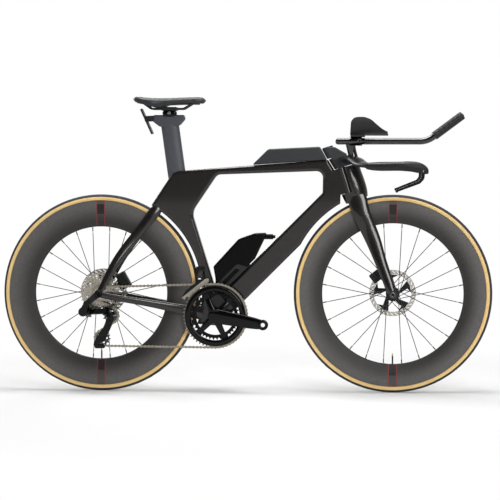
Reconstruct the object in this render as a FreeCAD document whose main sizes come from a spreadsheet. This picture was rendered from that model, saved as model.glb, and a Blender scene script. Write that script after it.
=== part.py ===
import FreeCAD, Part
import math
import os
import Sketcher
from FreeCAD import Placement, Rotation, Vector

# Time trial bike, millimetres. X points forward, Y to the rider's left, Z up.
# The origin lies on the ground, midway between the axles. The drive side is -Y.

SIZES = {
    # wheels
    "wheelbase": 1005,
    "tyre_radius": 339.5,
    "tyre_width": 28,
    "casing_wall": 2.5,
    "rim_radius": 318,
    "bead_depth": 7,
    "bead_gap": 0.1,
    "rim_width": 30,
    "rim_flank": 15,
    "rim_nose": 6.5,
    "rim_nose_depth": 15.6,
    "rim_nose_wall": 1.8,
    "rim_flank_curve": 240,
    "rim_wall": 3,
    "front_rim_depth": 77,
    "rear_rim_depth": 90,
    "spoke_count": 24,
    "spoke_radius": 1.0,
    "spoke_blade_width": 2.6,
    "spoke_blade_thickness": 1.1,
    "spoke_round_end": 22,
    "spoke_overlap": 2,
    "spoke_head_rise": 1.2,
    "spoke_head": 1,
    "nipple_radius": 1.9,
    "nipple_length": 13,
    "spoke_seat_gap": 0.3,
    "spoke_lacing_angle": 60,
    "flange_hole_circle": 21,
    "flange_radius": 23.5,
    "flange_thickness": 3,
    "spoke_outer_offset": 4.3,
    "spoke_inner_offset": 2.7,
    "valve_radius": 2.6,
    "valve_length": 36,
    "front_hub_length": 100,
    "rear_hub_length": 142,
    "front_left_flange": 22,
    "front_right_flange": 34,
    "rear_left_flange": 32,
    "rear_right_flange": 16.6,
    "hub_body_radius": 14,
    "hub_waist_step": 2,
    "hub_waist_run": 6,
    "hub_collar": 2.5,
    "hub_overhang": 6,
    "rotor_seat_wall": 2,
    "rotor_seat_half": 4,
    "rotor_shoulder": 4.5,
    "rotor_shoulder_width": 2,
    "hub_bore_radius": 10,
    "bearing_radius": 15,
    "bearing_width": 7,
    "hub_axle_radius": 8.5,
    "thru_axle_radius": 6,
    "running_gap": 0.05,
    "loose_gap": 0.3,
    "rotor_radius": 80,
    "rotor_band": 15,
    "rotor_thickness": 1.8,
    "rotor_inset": 15.3,
    "rotor_slots": 30,
    "rotor_arms": 5,
    "rotor_arm_sweep": 24,
    "rotor_arm_thickness": 2.4,
    "rotor_carrier_thickness": 4,
    "rotor_slot_width": 2.4,
    "axle_head_step": 3,
    "axle_head": 4,
    "axle_socket_radius": 2.5,
    # chain and sprockets
    "pitch": 12.7,
    "roller_radius": 3.8,
    "seat_radius": 4.0,
    "tooth_height": 2.6,
    "tooth_tip": 0.9,
    "plate_height": 8.6,
    "plate_waist": 5.6,
    "inner_plate_gap": 1.1,
    "inner_plate_thickness": 0.75,
    "outer_plate_gap": 1.95,
    "outer_plate_thickness": 0.65,
    "pin_radius": 1.6,
    "pin_gap": 0.2,
    "ring_teeth": 54,
    "small_ring_teeth": 40,
    "ring_thickness": 1.9,
    "chainline": 44.5,
    "ring_spacing": 6.4,
    "ring_bolt_circle": 70,
    "ring_bolt_radius": 3.5,
    "ring_bolt_head": 5.5,
    "ring_face_radius": 101,
    "ring_opening": 84,
    "small_ring_opening": 66,
    "spider_tip": 4,
    "cog_thickness": 1.6,
    "cog_spacing": 3.65,
    "cog_inset": 6,
    "freehub_radius": 16.2,
    "cog_bore_gap": 0.1,
    "spacer_radius": 17.9,
    "pulley_teeth": 13,
    "pulley_thickness": 1.9,
    "pulley_distance": 83,
    "cage_gap": 3.0,
    "cage_thickness": 2.0,
    "hanger_thickness": 6,
    "rear_link_length": 62,
    "front_link_length": 22.2,
    # frame
    "bb_drop": 75,
    "chainstay_length": 405.5,
    "frame_width": 40,
    "frame_edge_radius": 10,
    "down_tube_angle": 45,
    "down_tube_depth": 73.5,
    "down_tube_offset": 34.3,
    "seat_tube_angle": 72.9,
    "seat_tube_front": 25.2,
    "seat_top_setback": 128,
    "seat_top_height": 495.5,
    "top_tube_rear_depth": 25,
    "top_tube_front_depth": 37,
    "rear_wheel_gap": 10,
    "stay_root_angle": 52.5,
    "front_wheel_gap": 17.5,
    "bb_shell_radius": 26,
    "bb_shell_width": 79,
    "bb_boss_depth": 38,
    "bb_bearing_radius": 18.5,
    "bb_bearing_width": 7,
    "spindle_radius": 12,
    "dropout_radius": 14,
    "dropout_thickness": 9,
    "stay_clearance": 19,
    # steering
    "head_angle": 73,
    "fork_offset": 44,
    "crown_height": 376,
    "head_tube_length": 88,
    "head_tube_radius": 20.5,
    "headset_bearing_radius": 17.5,
    "headset_bearing_width": 7,
    "steerer_radius": 12,
    "fairing_gap": 1.5,
    "fairing_half_width": 25.5,
    "fairing_reach": 64,
    "fork_tyre_gap": 6,
    # seat
    "seatpost_chord": 62,
    "seatpost_width": 26,
    "seatpost_lean": 7.8,
    "seatpost_gap": 0.1,
    "seatpost_insert": 110,
    "seat_travel": 50,
    "seatpost_reach": 168,
    "rail_radius": 3.5,
    "rail_spacing": 44,
    "rail_bend": 18,
    "seat_bolt_radius": 3,
    "seat_head_width": 26,
    "rear_plate_width": 46,
    "rear_plate_thickness": 6,
    "saddle_width": 136,
    # cockpit
    "extension_radius": 11.1,
    "extension_spacing": 92,
    "extension_height": 861,
    "extension_bend": 36.7,
    "extension_bend_radius": 70,
    "extension_tip": 138,
    "grip_radius": 14.3,
    "grip_start": 30,
    "pod_length": 10,
    "button_radius": 6,
    "clamp_wall": 4,
    "arm_rest_spacing": 180,
    "base_bar_width": 400,
    "lever_width": 10,
    "lever_pin_radius": 2,
    "arm_cup_radius": 46,
    "arm_cup_wall": 3.2,
    "arm_pad_depth": 9,
    "storage_box_width": 42,
    "nose_box_width": 38,
    "bottle_width": 44,
    # cranks
    "crank_length": 167.5,
    "crank_drop_angle": 10.1,
    "pedal_thread_radius": 7.14,
    "pedal_eye_radius": 16,
    "pedal_eye_width": 13,
    "pedal_eye_offset": 66,
    "crank_boss_radius": 23,
    "crank_boss_width": 15,
    "left_crank_inset": 52,
    "spindle_wall": 3,
    "spindle_end": 12,
}

X = Vector(1, 0, 0)
Y = Vector(0, 1, 0)
Z = Vector(0, 0, 1)
RIGHT = -1
LEFT = 1
COG_TEETH = [11, 12, 13, 14, 15, 17, 19, 21, 24, 27, 30, 34]

doc = FreeCAD.newDocument("time_trial_bike")
sheet = doc.addObject("Spreadsheet::Sheet", "dims")
for row, (alias, value) in enumerate(SIZES.items(), 1):
    sheet.set(f"A{row}", alias)
    sheet.set(f"B{row}", str(value))
    sheet.setAlias(f"B{row}", alias)
doc.recompute()
subparts = []


def size(alias):
    """Value of one cell of the sheet."""
    return float(getattr(sheet, alias))


def value_of(expression):
    """Number that an expression on the sheet gives."""
    return float(sheet.evalExpression(str(expression)))


# Helpers that make document objects

def shaped(label, shape):
    """Sub-part whose form is worked out in code from the sheet's values."""
    feature = doc.addObject("Part::Feature", label)
    feature.Label = label
    feature.Shape = shape
    subparts.append(feature)
    return feature


def grouped(label, members):
    """Sub-part made of several separate solids of the document."""
    group = doc.addObject("Part::Compound", label)
    group.Label = label
    group.Links = members
    subparts.append(group)
    return group


def origin_plane(body, role):
    return next(item for item in body.Origin.OriginFeatures if item.Role == role)


def outline(sketch, points):
    """Closed loop through (x, y) expressions. A third entry bends the side that follows it into an
    arc of that radius: positive turns left, negative turns right."""
    places = [Vector(value_of(p[0]), value_of(p[1]), 0) for p in points]
    ends = []
    for index, point in enumerate(points):
        start = places[index]
        stop = places[(index + 1) % len(points)]
        if len(point) == 2:
            ends.append((sketch.addGeometry(Part.LineSegment(start, stop)), 1, 2))
            continue
        radius = value_of(point[2])
        half = (stop - start).Length / 2
        sag = abs(radius) - math.sqrt(radius * radius - half * half)
        side = Vector((stop - start).y, (start - stop).x, 0).normalize()
        middle = (start + stop) * 0.5 + side * math.copysign(sag, radius)
        if radius > 0:
            ends.append((sketch.addGeometry(Part.Arc(start, middle, stop)), 1, 2))
        else:
            ends.append((sketch.addGeometry(Part.Arc(stop, middle, start)), 2, 1))
    for (edge, _, tail), (following, head, _) in zip(ends, ends[1:] + ends[:1]):
        sketch.addConstraint(Sketcher.Constraint("Coincident", edge, tail, following, head))
    for (edge, head, _), point, place in zip(ends, points, places):
        bind(sketch, Sketcher.Constraint("DistanceX", edge, head, place.x), point[0])
        bind(sketch, Sketcher.Constraint("DistanceY", edge, head, place.y), point[1])
        if len(point) == 3:
            bind(sketch, Sketcher.Constraint("Radius", edge, abs(value_of(point[2]))), f"abs({point[2]})")


def bind(sketch, constraint, expression):
    """Adds a sketch constraint whose value follows an expression on the sheet."""
    index = sketch.addConstraint(constraint)
    sketch.setExpression(f"Constraints[{index}]", str(expression))


def turned_body(name, loops, centre, axis=Y):
    """Body of revolution: each loop gives (radius, place along the axis) expressions."""
    body = doc.addObject("PartDesign::Body", name)
    sketch = body.newObject("Sketcher::SketchObject", name + "_profile")
    sketch.AttachmentSupport = [(origin_plane(body, "XZ_Plane"), "")]
    sketch.MapMode = "FlatFace"
    for loop in loops:
        outline(sketch, loop)
    turn = body.newObject("PartDesign::Revolution", name + "_turn")
    turn.Profile = sketch
    turn.ReferenceAxis = (sketch, ["V_Axis"])
    turn.Angle = 360
    body.Placement = Placement(centre, Rotation(Z, axis))
    return body


def turned(label, loops, centre, axis=Y):
    body = turned_body(label, loops, centre, axis)
    body.Label = label
    subparts.append(body)
    return body


def ring(inner, outer, low, high):
    """Loop of a plain ring between two radii and two places along its axis."""
    return [(inner, low), (outer, low), (outer, high), (inner, high)]


def rod(name, radius, length, start, axis=Y):
    cylinder = doc.addObject("Part::Cylinder", name)
    cylinder.setExpression("Radius", str(radius))
    cylinder.setExpression("Height", str(length))
    cylinder.Placement = Placement(start, Rotation(Z, axis))
    return cylinder


# Helpers that work out shapes

def at(x, z, y=0.0):
    return Vector(x, y, z)


def bar(radius, start, stop):
    """Round bar between two points."""
    return Part.makeCylinder(radius, (stop - start).Length, start, stop - start)


def crossing(point, along, other, towards):
    """Where two lines in the plane of symmetry meet."""
    span = along.x * towards.z - along.z * towards.x
    gap = other - point
    return point + along * ((gap.x * towards.z - gap.z * towards.x) / span)


def rounded_wire(corners):
    """Closed wire through (point, radius) corners, with a tangent arc at each corner."""
    edges = []
    count = len(corners)
    starts = []
    for index, (point, radius) in enumerate(corners):
        back = (corners[index - 1][0] - point).normalize()
        ahead = (corners[(index + 1) % count][0] - point).normalize()
        half = back.getAngle(ahead) / 2
        reach = radius / math.tan(half)
        middle = (back + ahead).normalize()
        centre = point + middle * (radius / math.sin(half))
        starts.append((point + back * reach, centre - middle * radius, point + ahead * reach))
    for index, (entry, crest, leave) in enumerate(starts):
        if (entry - leave).Length > 1e-6:
            edges.append(Part.Arc(entry, crest, leave).toShape())
        following = starts[(index + 1) % count][0]
        if (following - leave).Length > 1e-6:
            edges.append(Part.LineSegment(leave, following).toShape())
    return Part.Wire(edges)


def plate(corners, thickness, middle=0.0):
    """Flat plate parallel to the plane of symmetry, with rounded corners."""
    face = Part.Face(rounded_wire(corners))
    face.translate(Y * (middle - thickness / 2))
    return face.extrude(Y * thickness)


def oval(centre, wide, high):
    """Closed oval whose half axes are the vectors wide and high."""
    normal = wide.cross(high).normalize()
    matrix = FreeCAD.Matrix(wide.x, high.x, normal.x, centre.x, wide.y, high.y, normal.y, centre.y,
                            wide.z, high.z, normal.z, centre.z, 0, 0, 0, 1)
    return Part.Wire(Part.Circle(Vector(), Z, 1).toShape().transformGeometry(matrix))


def loft(wires):
    return Part.makeLoft(wires, True, False)


def soften(shape, radius, keep):
    """Rounds those edges of a solid that the test keep picks."""
    return shape.makeFillet(radius, [edge for edge in shape.Edges if keep(edge)])


def closed_at(centre):
    """Test that picks the round end edge about a centre."""
    return lambda edge: edge.Closed and (edge.CenterOfMass - centre).Length < 1e-6


def mirrored(shape):
    """The same piece on the other side of the plane of symmetry."""
    return shape.mirror(Vector(), Y)


def largest(shape):
    """Main solid of a cut shape, without the scraps that the cut left over."""
    return max(shape.Solids, key=lambda solid: solid.Volume)


def made(*labels):
    """Shapes of sub-parts that are already made, to cut others to fit them."""
    shapes = [part.Shape for part in subparts if part.Label in labels]
    return shapes[0] if len(shapes) == 1 else Part.makeCompound(shapes)


# Reference places

REAR = at(-size("wheelbase") / 2, size("tyre_radius"))
FRONT = at(size("wheelbase") / 2, size("tyre_radius"))
BB = REAR + at(math.sqrt(size("chainstay_length") ** 2 - size("bb_drop") ** 2), -size("bb_drop"))
HEAD_ANGLE = math.radians(size("head_angle"))
STEER = at(-math.cos(HEAD_ANGLE), math.sin(HEAD_ANGLE))
AHEAD = at(math.sin(HEAD_ANGLE), math.cos(HEAD_ANGLE))
STEER_FOOT = FRONT - AHEAD * size("fork_offset")
HEAD_LOW = STEER_FOOT + STEER * size("crown_height")
HEAD_TOP = HEAD_LOW + STEER * size("head_tube_length")
RING_Y = -(size("chainline") + size("ring_spacing") / 2)
COG_Y = -(size("rear_hub_length") / 2 - size("cog_inset"))


def pitch_radius(teeth):
    return size("pitch") / (2 * math.sin(math.pi / teeth))


# Wheels

def wheel_rim(side, centre):
    """Hollow deep rim with a tyre channel between its hooks, and the valve stem at its lowest point."""
    depth = f"dims.{side}_rim_depth"
    nose = f"(dims.rim_radius - {depth})"
    edge = "dims.rim_width / 2"
    casing = "(dims.tyre_width / 2)"
    sink = f"(dims.tyre_radius - {casing} - dims.rim_radius)"
    lip = f"(sqrt({casing}^2 - {sink}^2) + dims.bead_gap)"
    floor = "(dims.rim_radius - dims.bead_depth - dims.bead_gap)"
    outer = [
        ("dims.rim_radius", lip), (floor, lip), (floor, f"-{lip}"), ("dims.rim_radius", f"-{lip}"),
        ("dims.rim_radius", f"-{edge}"), ("dims.rim_radius - dims.rim_flank", f"-{edge}",
                                          "-dims.rim_flank_curve"),
        (f"{nose} + dims.rim_nose", "-dims.rim_nose", "-dims.rim_nose * 1.001"),
        (f"{nose} + dims.rim_nose", "dims.rim_nose", "-dims.rim_flank_curve"),
        ("dims.rim_radius - dims.rim_flank", edge), ("dims.rim_radius", edge),
    ]
    wall = "dims.rim_wall"
    deep = f"{nose} + dims.rim_nose_depth"
    thin = "(dims.rim_nose - dims.rim_nose_wall)"
    cavity = [
        (f"{floor} - {wall}", f"{edge} - {wall}"), (deep, thin),
        (deep, f"-{thin}"), (f"{floor} - {wall}", f"-({edge} - {wall})"),
    ]
    rim = turned_body(side + "_rim_hoop", [outer, cavity], centre)
    reach = size("rim_radius") - size(f"{side}_rim_depth") - size("spoke_seat_gap")
    tip = size("valve_length") / 4
    stem = rod(side + "_valve_stem", "dims.valve_radius", "dims.valve_length * 3 / 4", centre - Z * reach,
               Z)
    cap = doc.addObject("Part::Cone", side + "_valve_tip")
    cap.setExpression("Radius1", "dims.valve_radius")
    cap.setExpression("Radius2", "dims.valve_radius / 2")
    cap.setExpression("Height", "dims.valve_length / 4")
    cap.Placement = Placement(centre - Z * (reach - 3 * tip), Rotation())
    return grouped(side + "_rim", [rim, stem, cap])


def wheel_tyre(side, centre):
    """Tyre: a round casing, open towards the rim, with its two beads in the rim's channel."""
    middle = "(dims.tyre_radius - dims.tyre_width / 2)"
    casing = "(dims.tyre_width / 2)"
    lining = f"({casing} - dims.casing_wall)"
    outer = f"sqrt({casing}^2 - ({middle} - dims.rim_radius)^2)"
    inner = f"sqrt({lining}^2 - ({middle} - dims.rim_radius)^2)"
    bead = "dims.rim_radius - dims.bead_depth"
    loop = [
        (bead, inner), (bead, outer), ("dims.rim_radius", outer, f"-{casing}"),
        ("dims.tyre_radius", "0", f"-{casing}"), ("dims.rim_radius", f"-{outer}"), (bead, f"-{outer}"),
        (bead, f"-{inner}"), ("dims.rim_radius", f"-{inner}", lining),
        ("dims.tyre_radius - dims.casing_wall", "0", lining), ("dims.rim_radius", inner),
    ]
    return turned(side + "_tyre", [loop], centre)


def flange_places(side):
    """Places of the right and left spoke flanges along the axle."""
    return -size(f"{side}_right_flange"), size(f"{side}_left_flange")


def spoke_ends(side):
    """Rim angle, hub angle, flange place and outward offset of every spoke, two-cross lacing."""
    step = 2 * math.pi / size("spoke_count")
    lacing = math.radians(size("spoke_lacing_angle"))
    for index in range(int(size("spoke_count"))):
        leading = (index // 2) % 2
        hand = (RIGHT, LEFT)[index % 2]
        flange = flange_places(side)[index % 2]
        offset = size("spoke_outer_offset") if leading else -size("spoke_inner_offset")
        angle = (index + 0.5) * step
        yield angle, angle + (lacing if leading else -lacing), flange, hand * offset


def on_wheel(radius, angle, along):
    return Vector(radius * math.cos(angle), along, radius * math.sin(angle))


def spoke_blade(start, stop):
    """Flattened middle of a spoke: a flat bar with bevelled edges."""
    along = stop - start
    side_on = along.cross(Y).normalize() * (size("spoke_blade_width") / 2)
    thin = along.cross(side_on).normalize() * (size("spoke_blade_thickness") / 2)
    bevel = 0.6
    corners = [(1, 0), (bevel, 1), (-bevel, 1), (-1, 0), (-bevel, -1), (bevel, -1), (1, 0)]
    section = Part.makePolygon([start + side_on * wide + thin * high for wide, high in corners])
    return Part.Face(section).extrude(along)


def wheel_spokes(side, centre):
    """Spokes with a bent head through the flange and a nipple at the rim."""
    rim_end = size("rim_radius") - size(f"{side}_rim_depth") - size("spoke_seat_gap")
    spokes = []
    for rim_angle, hub_angle, flange, offset in spoke_ends(side):
        foot = on_wheel(size("flange_hole_circle"), hub_angle, flange + offset)
        tip = on_wheel(rim_end, rim_angle, 0)
        along = (tip - foot).normalize()
        through = size("flange_thickness") / 2 + size("spoke_head_rise")
        far = Vector(foot.x, flange - math.copysign(through, offset), foot.z)
        pieces = [bar(size("spoke_radius"), foot, far), Part.makeSphere(size("spoke_radius"), foot)]
        head = far + (far - foot).normalize() * size("spoke_head")
        pieces.append(bar(size("nipple_radius"), far, head))
        pieces.append(bar(size("nipple_radius"), tip - along * size("nipple_length"), tip))
        blade_ends = (foot + along * size("spoke_round_end"), tip - along * size("spoke_round_end"))
        pieces.append(spoke_blade(*blade_ends))
        overlap = along * size("spoke_overlap")
        pieces.append(bar(size("spoke_radius"), blade_ends[1] - overlap, tip))
        inner_end = bar(size("spoke_radius"), foot, blade_ends[0] + overlap)
        spokes.append(inner_end.multiFuse(pieces).removeSplitter())
    group = Part.makeCompound(spokes)
    group.translate(centre)
    return shaped(side + "_spokes", group)


def wheel_hub(side, centre):
    """Hub shell with drilled flanges, and the two bearings at its ends."""
    right, left = f"-dims.{side}_right_flange", f"dims.{side}_left_flange"
    rotor = f"(dims.{side}_hub_length / 2 - dims.rotor_inset)"
    half = "dims.flange_thickness / 2"
    end = f"({rotor} + dims.rotor_seat_half)"
    low = f"({right} - dims.hub_overhang)"
    bearing, flange = "dims.bearing_radius", "dims.flange_radius"
    collar = f"{bearing} + dims.hub_collar"
    waist, neck = "dims.hub_body_radius", "dims.hub_body_radius + dims.hub_waist_step"
    shoulder, seat = f"{bearing} + dims.rotor_shoulder", f"{bearing} + dims.rotor_seat_wall"
    shoulder_low = f"{rotor} - dims.rotor_seat_half"
    shoulder_high = f"{shoulder_low} + dims.rotor_shoulder_width"
    loop = [
        (bearing, low), (collar, low), (collar, f"{right} - {half}"), (flange, f"{right} - {half}"),
        (flange, f"{right} + {half}"), (neck, f"{right} + {half}"),
        (waist, f"{right} + {half} + dims.hub_waist_run"), (waist, f"{left} - {half} - dims.hub_waist_run"),
        (neck, f"{left} - {half}"), (flange, f"{left} - {half}"), (flange, f"{left} + {half}"),
        (collar, f"{left} + {half}"), (collar, shoulder_low), (shoulder, shoulder_low),
        (shoulder, shoulder_high), (seat, shoulder_high), (seat, end), (bearing, end),
        (bearing, f"{end} - dims.bearing_width"), ("dims.hub_bore_radius", f"{end} - dims.bearing_width"),
        ("dims.hub_bore_radius", f"{low} + dims.bearing_width"), (bearing, f"{low} + dims.bearing_width"),
    ]
    body = turned_body(side + "_hub_shell", [loop], centre)
    holes = []
    for _, hub_angle, flange, _ in spoke_ends(side):
        place = on_wheel(size("flange_hole_circle"), hub_angle, flange)
        reach = Y * (size("flange_thickness") / 2 + 1)
        holes.append(bar(size("spoke_radius") + size("running_gap"), place - reach, place + reach))
    drill = doc.addObject("Part::Feature", side + "_spoke_holes")
    drill.Shape = Part.makeCompound(holes)
    drill.Placement = Placement(centre, Rotation())
    shell = doc.addObject("Part::Cut", side + "_hub_drilled")
    shell.Base = body
    shell.Tool = drill
    inner = "dims.hub_axle_radius + dims.running_gap"
    rings = [shell]
    for name, start in (("left", f"{end} - dims.bearing_width"), ("right", low)):
        loop = ring(inner, "dims.bearing_radius", start, f"{start} + dims.bearing_width")
        rings.append(turned_body(f"{side}_{name}_bearing", [loop], centre))
    return grouped(side + "_hub", rings)


def rotor_carrier(reach):
    """Carrier whose swept arms reach out to the band, and the lockring that holds it on the hub."""
    seat = size("bearing_radius") + size("rotor_seat_wall") + size("bead_gap")
    thick = size("rotor_carrier_thickness")
    web = size("rotor_arm_thickness")
    sweep = math.radians(size("rotor_arm_sweep"))
    root, rim = seat + 3, reach - size("bead_gap")
    arms = []
    for index in range(int(size("rotor_arms"))):
        angle = 2 * math.pi * index / size("rotor_arms")
        corners = [(root, -0.28, 0.5), (rim - 12, sweep - 0.12, 2), (rim, sweep - 0.42, 0.5),
                   (rim, sweep, 0.5),
                   (rim, sweep + 0.3, 0.5), (root, 0.28, 0.5)]
        wire = rounded_wire([(on_wheel(radius, angle + bend, -web / 2), bow) for radius, bend,
                             bow in corners])
        arms.append(Part.Face(wire).extrude(Y * web))
    bore = disc(seat, 4 * thick)
    limit = disc(reach - size("running_gap"), 2 * thick)
    carrier = disc(root + 2, thick).multiFuse(arms).common(limit).cut(bore).removeSplitter()
    lock = disc(root, thick / 2, thick * 3 / 4).cut(bore)
    return carrier, lock


def wheel_rotor(side, centre):
    """Slotted steel band on its carrier, and the lockring on the hub's spline."""
    outer = size("rotor_radius")
    inner = outer - size("rotor_band")
    thick = size("rotor_thickness")
    place = centre + Y * (size(f"{side}_hub_length") / 2 - size("rotor_inset"))
    band = Part.makeCylinder(outer, thick, Y * (-thick / 2), Y)
    band = band.cut(Part.makeCylinder(inner, thick * 2, Y * -thick, Y))
    slots = []
    count = int(size("rotor_slots"))
    for index in range(count):
        angle = 2 * math.pi * index / count
        start = on_wheel(inner + 4, angle, -thick)
        stop = on_wheel(outer - 3, angle + math.radians(7), -thick)
        along = (stop - start).normalize()
        wide = along.cross(Y) * (size("rotor_slot_width") / 2)
        corners = [start - wide, stop - wide, stop + wide, start + wide]
        slots.append(Part.Face(Part.makePolygon(corners + corners[:1])).extrude(Y * (2 * thick)))
    band = band.cut(Part.makeCompound(slots))
    carrier, lock = rotor_carrier(inner)
    group = Part.makeCompound([band, carrier, lock])
    group.translate(place)
    return shaped(side + "_rotor", group)


def wheel_axle(side, centre, right_cap, left_cap):
    """Tube that the bearings turn on, and the thru axle that clamps it between the dropouts."""
    half = f"dims.{side}_hub_length / 2"
    bore = "dims.thru_axle_radius + dims.running_gap"
    tube = turned_body(side + "_hub_tube", [ring(bore, "dims.hub_axle_radius", f"-{half}", half)], centre)
    tip, cap = f"-({half} + {right_cap})", f"{half} + {left_cap}"
    stem, head = "dims.thru_axle_radius", "dims.thru_axle_radius + dims.axle_head_step"
    socket = "dims.axle_socket_radius"
    shaft = [
        ("0", tip), (stem, tip), (stem, cap), (head, cap), (head, f"{cap} + dims.axle_head"),
        (socket, f"{cap} + dims.axle_head"), (socket, f"{cap} - dims.axle_head"), ("0",
                                                                                   f"{cap} - dims.axle_head"),
    ]
    return grouped(side + "_axle", [tube, turned_body(side + "_thru_axle", [shaft], centre)])


def wheels():
    for side, centre in (("front", FRONT), ("rear", REAR)):
        wheel_tyre(side, centre)
        wheel_rim(side, centre)
        wheel_spokes(side, centre)
        wheel_hub(side, centre)
        wheel_rotor(side, centre)
    wheel_axle("front", FRONT, "12", "12")
    wheel_axle("rear", REAR, "dims.dropout_thickness + dims.hanger_thickness", "dims.dropout_thickness")


# Chain route

class Route:
    """Closed chain line in the side view: pitch circles joined by straight runs, in the way the chain
    moves. Each wheel is (centre, radius, turn), with turn +1 against the clock seen from the drive side."""

    def __init__(self, wheels):
        self.parts = []
        joins = []
        for (c1, r1, s1), (c2, r2, s2) in zip(wheels, wheels[1:] + wheels[:1]):
            span = c2 - c1
            heading = math.atan2(span.z, span.x) + math.asin((s1 * r1 - s2 * r2) / span.Length)
            right = at(math.sin(heading), -math.cos(heading))
            joins.append((c1 + right * (s1 * r1), c2 + right * (s2 * r2)))
        for index, (centre, radius, turn) in enumerate(wheels):
            entry, leave = joins[index - 1][1], joins[index][0]
            first = math.atan2(entry.z - centre.z, entry.x - centre.x)
            last = math.atan2(leave.z - centre.z, leave.x - centre.x)
            sweep = (last - first) * turn % (2 * math.pi)
            self.parts.append(("arc", centre, radius, first, turn, sweep * radius))
            run = joins[index][1] - leave
            length = run.Length
            self.parts.append(("run", leave, run / length, 0, 0, length))
        self.length = sum(part[5] for part in self.parts)

    def place(self, distance):
        """Point at a distance along the line, with the part it lies on and how far along that part."""
        distance %= self.length
        for index, (kind, origin, value, first, turn, length) in enumerate(self.parts):
            if distance <= length or index == len(self.parts) - 1:
                break
            distance -= length
        if kind == "run":
            return origin + value * distance, index, distance / length
        angle = first + turn * distance / value
        return origin + at(math.cos(angle), math.sin(angle)) * value, index, distance / length

    def step(self, distance, pitch):
        """Distance of the next pin, one straight pitch away from the pin at this distance."""
        here = self.place(distance)[0]
        low, high = pitch * 0.98, pitch * 1.12
        for _ in range(30):
            middle = (low + high) / 2
            if (self.place(distance + middle)[0] - here).Length < pitch:
                low = middle
            else:
                high = middle
        return distance + low

    def pins(self, count, pitch):
        places = [0.0]
        for _ in range(count):
            places.append(self.step(places[-1], pitch))
        return places


GUIDE = BB + at(-357, 0.5)
PULLEY_BOLT = 3


def chain_route(angle):
    """Route round the small cog, the big ring, the tension pulley and the guide pulley."""
    tension = GUIDE + at(math.cos(angle), math.sin(angle)) * size("pulley_distance")
    pulley = pitch_radius(size("pulley_teeth"))
    return Route([(REAR, pitch_radius(COG_TEETH[0]), -1), (BB, pitch_radius(size("ring_teeth")), -1),
                  (tension, pulley, -1), (GUIDE, pulley, 1)]), tension


def solve_chain():
    """Even number of links, and the cage angle that closes the loop on whole pitches."""
    pitch = size("pitch")
    hang = math.radians(-107)
    links = 2 * round(chain_route(hang)[0].length / pitch / 2)

    def excess(angle):
        route = chain_route(angle)[0]
        return route.length - route.pins(links, pitch)[-1]

    low, high = hang - 0.9, hang + 0.45
    rising = excess(high) > excess(low)
    for _ in range(34):
        middle = (low + high) / 2
        if (excess(middle) > 0) == rising:
            high = middle
        else:
            low = middle
    route, tension = chain_route((low + high) / 2)
    return route, tension, route.pins(links, pitch)[:-1]


ROUTE, TENSION, PIN_PLACES = solve_chain()


def pin_angle(centre, part):
    """Angle of one pin that lies on the given part of the route, about that part's centre."""
    for distance in PIN_PLACES:
        place, index, share = ROUTE.place(distance)
        if index == part and 0.2 < share < 0.8:
            return math.atan2(place.z - centre.z, place.x - centre.x)
    return 0.0


def chain_pin(distance):
    """Pin centre in space: the runs between ring and cogs lean smoothly across."""
    place, index, share = ROUTE.place(distance)
    ease = share * share * (3 - 2 * share)
    across = {1: COG_Y + (RING_Y - COG_Y) * ease, 2: RING_Y, 3: RING_Y + (COG_Y - RING_Y) * ease}
    return Vector(place.x, across.get(index, COG_Y), place.z)


def link_plate(low, thickness, hole):
    """Waisted plate with two eyes, in the plane of the link, from low along the pin's axis."""
    eye = size("plate_height") / 2
    waist = size("plate_waist") / 2
    pitch = size("pitch")
    reach = math.sqrt(eye * eye - waist * waist)
    edges = []
    for sign in (1, -1):
        start = Vector(reach if sign > 0 else pitch - reach, low, sign * waist)
        stop = Vector(pitch - reach if sign > 0 else reach, low, sign * waist)
        edges.append(Part.LineSegment(start, stop).toShape())
        turn = Vector(pitch + eye if sign > 0 else -eye, low, 0)
        edges.append(Part.Arc(stop, turn, Vector(stop.x, low, -stop.z)).toShape())
    body = Part.Face(Part.Wire(edges)).extrude(Y * thickness)
    if not hole:
        return body
    eyes = [Part.makeCylinder(hole, thickness * 3, Vector(x, low - thickness, 0), Y) for x in (0, pitch)]
    return body.cut(Part.makeCompound(eyes))


def chain():
    """Closed chain of alternating inner links, with their rollers, and outer links, with their pins."""
    hole = size("pin_radius") + size("pin_gap")
    gap, thick = size("inner_plate_gap"), size("inner_plate_thickness")
    inner = [link_plate(gap, thick, hole), link_plate(-gap - thick, thick, hole)]
    for x in (0, size("pitch")):
        roller = Part.makeCylinder(size("roller_radius"), 2 * gap, Vector(x, -gap, 0), Y)
        inner.append(roller.cut(Part.makeCylinder(hole, 2 * gap, Vector(x, -gap, 0), Y)))
    gap, thick = size("outer_plate_gap"), size("outer_plate_thickness")
    outer = [link_plate(gap, thick, 0), link_plate(-gap - thick, thick, 0)]
    for x in (0, size("pitch")):
        outer.append(Part.makeCylinder(size("pin_radius"), 2 * gap + 2 * thick, Vector(x, -gap - thick, 0),
                                       Y))
    forms = [inner[0].multiFuse(inner[1:]), outer[0].multiFuse(outer[1:])]
    links = []
    pins = [chain_pin(distance) for distance in PIN_PLACES]
    for index, pin in enumerate(pins):
        along = (pins[(index + 1) % len(pins)] - pin).normalize()
        axis = (Y - along * along.dot(Y)).normalize()
        link = forms[index % 2].copy()
        link.Placement = Placement(pin, Rotation(along, axis, Vector(), "XYZ"))
        links.append(link)
    return shaped("chain", Part.makeCompound(links))


# Sprockets and cranks

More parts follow.
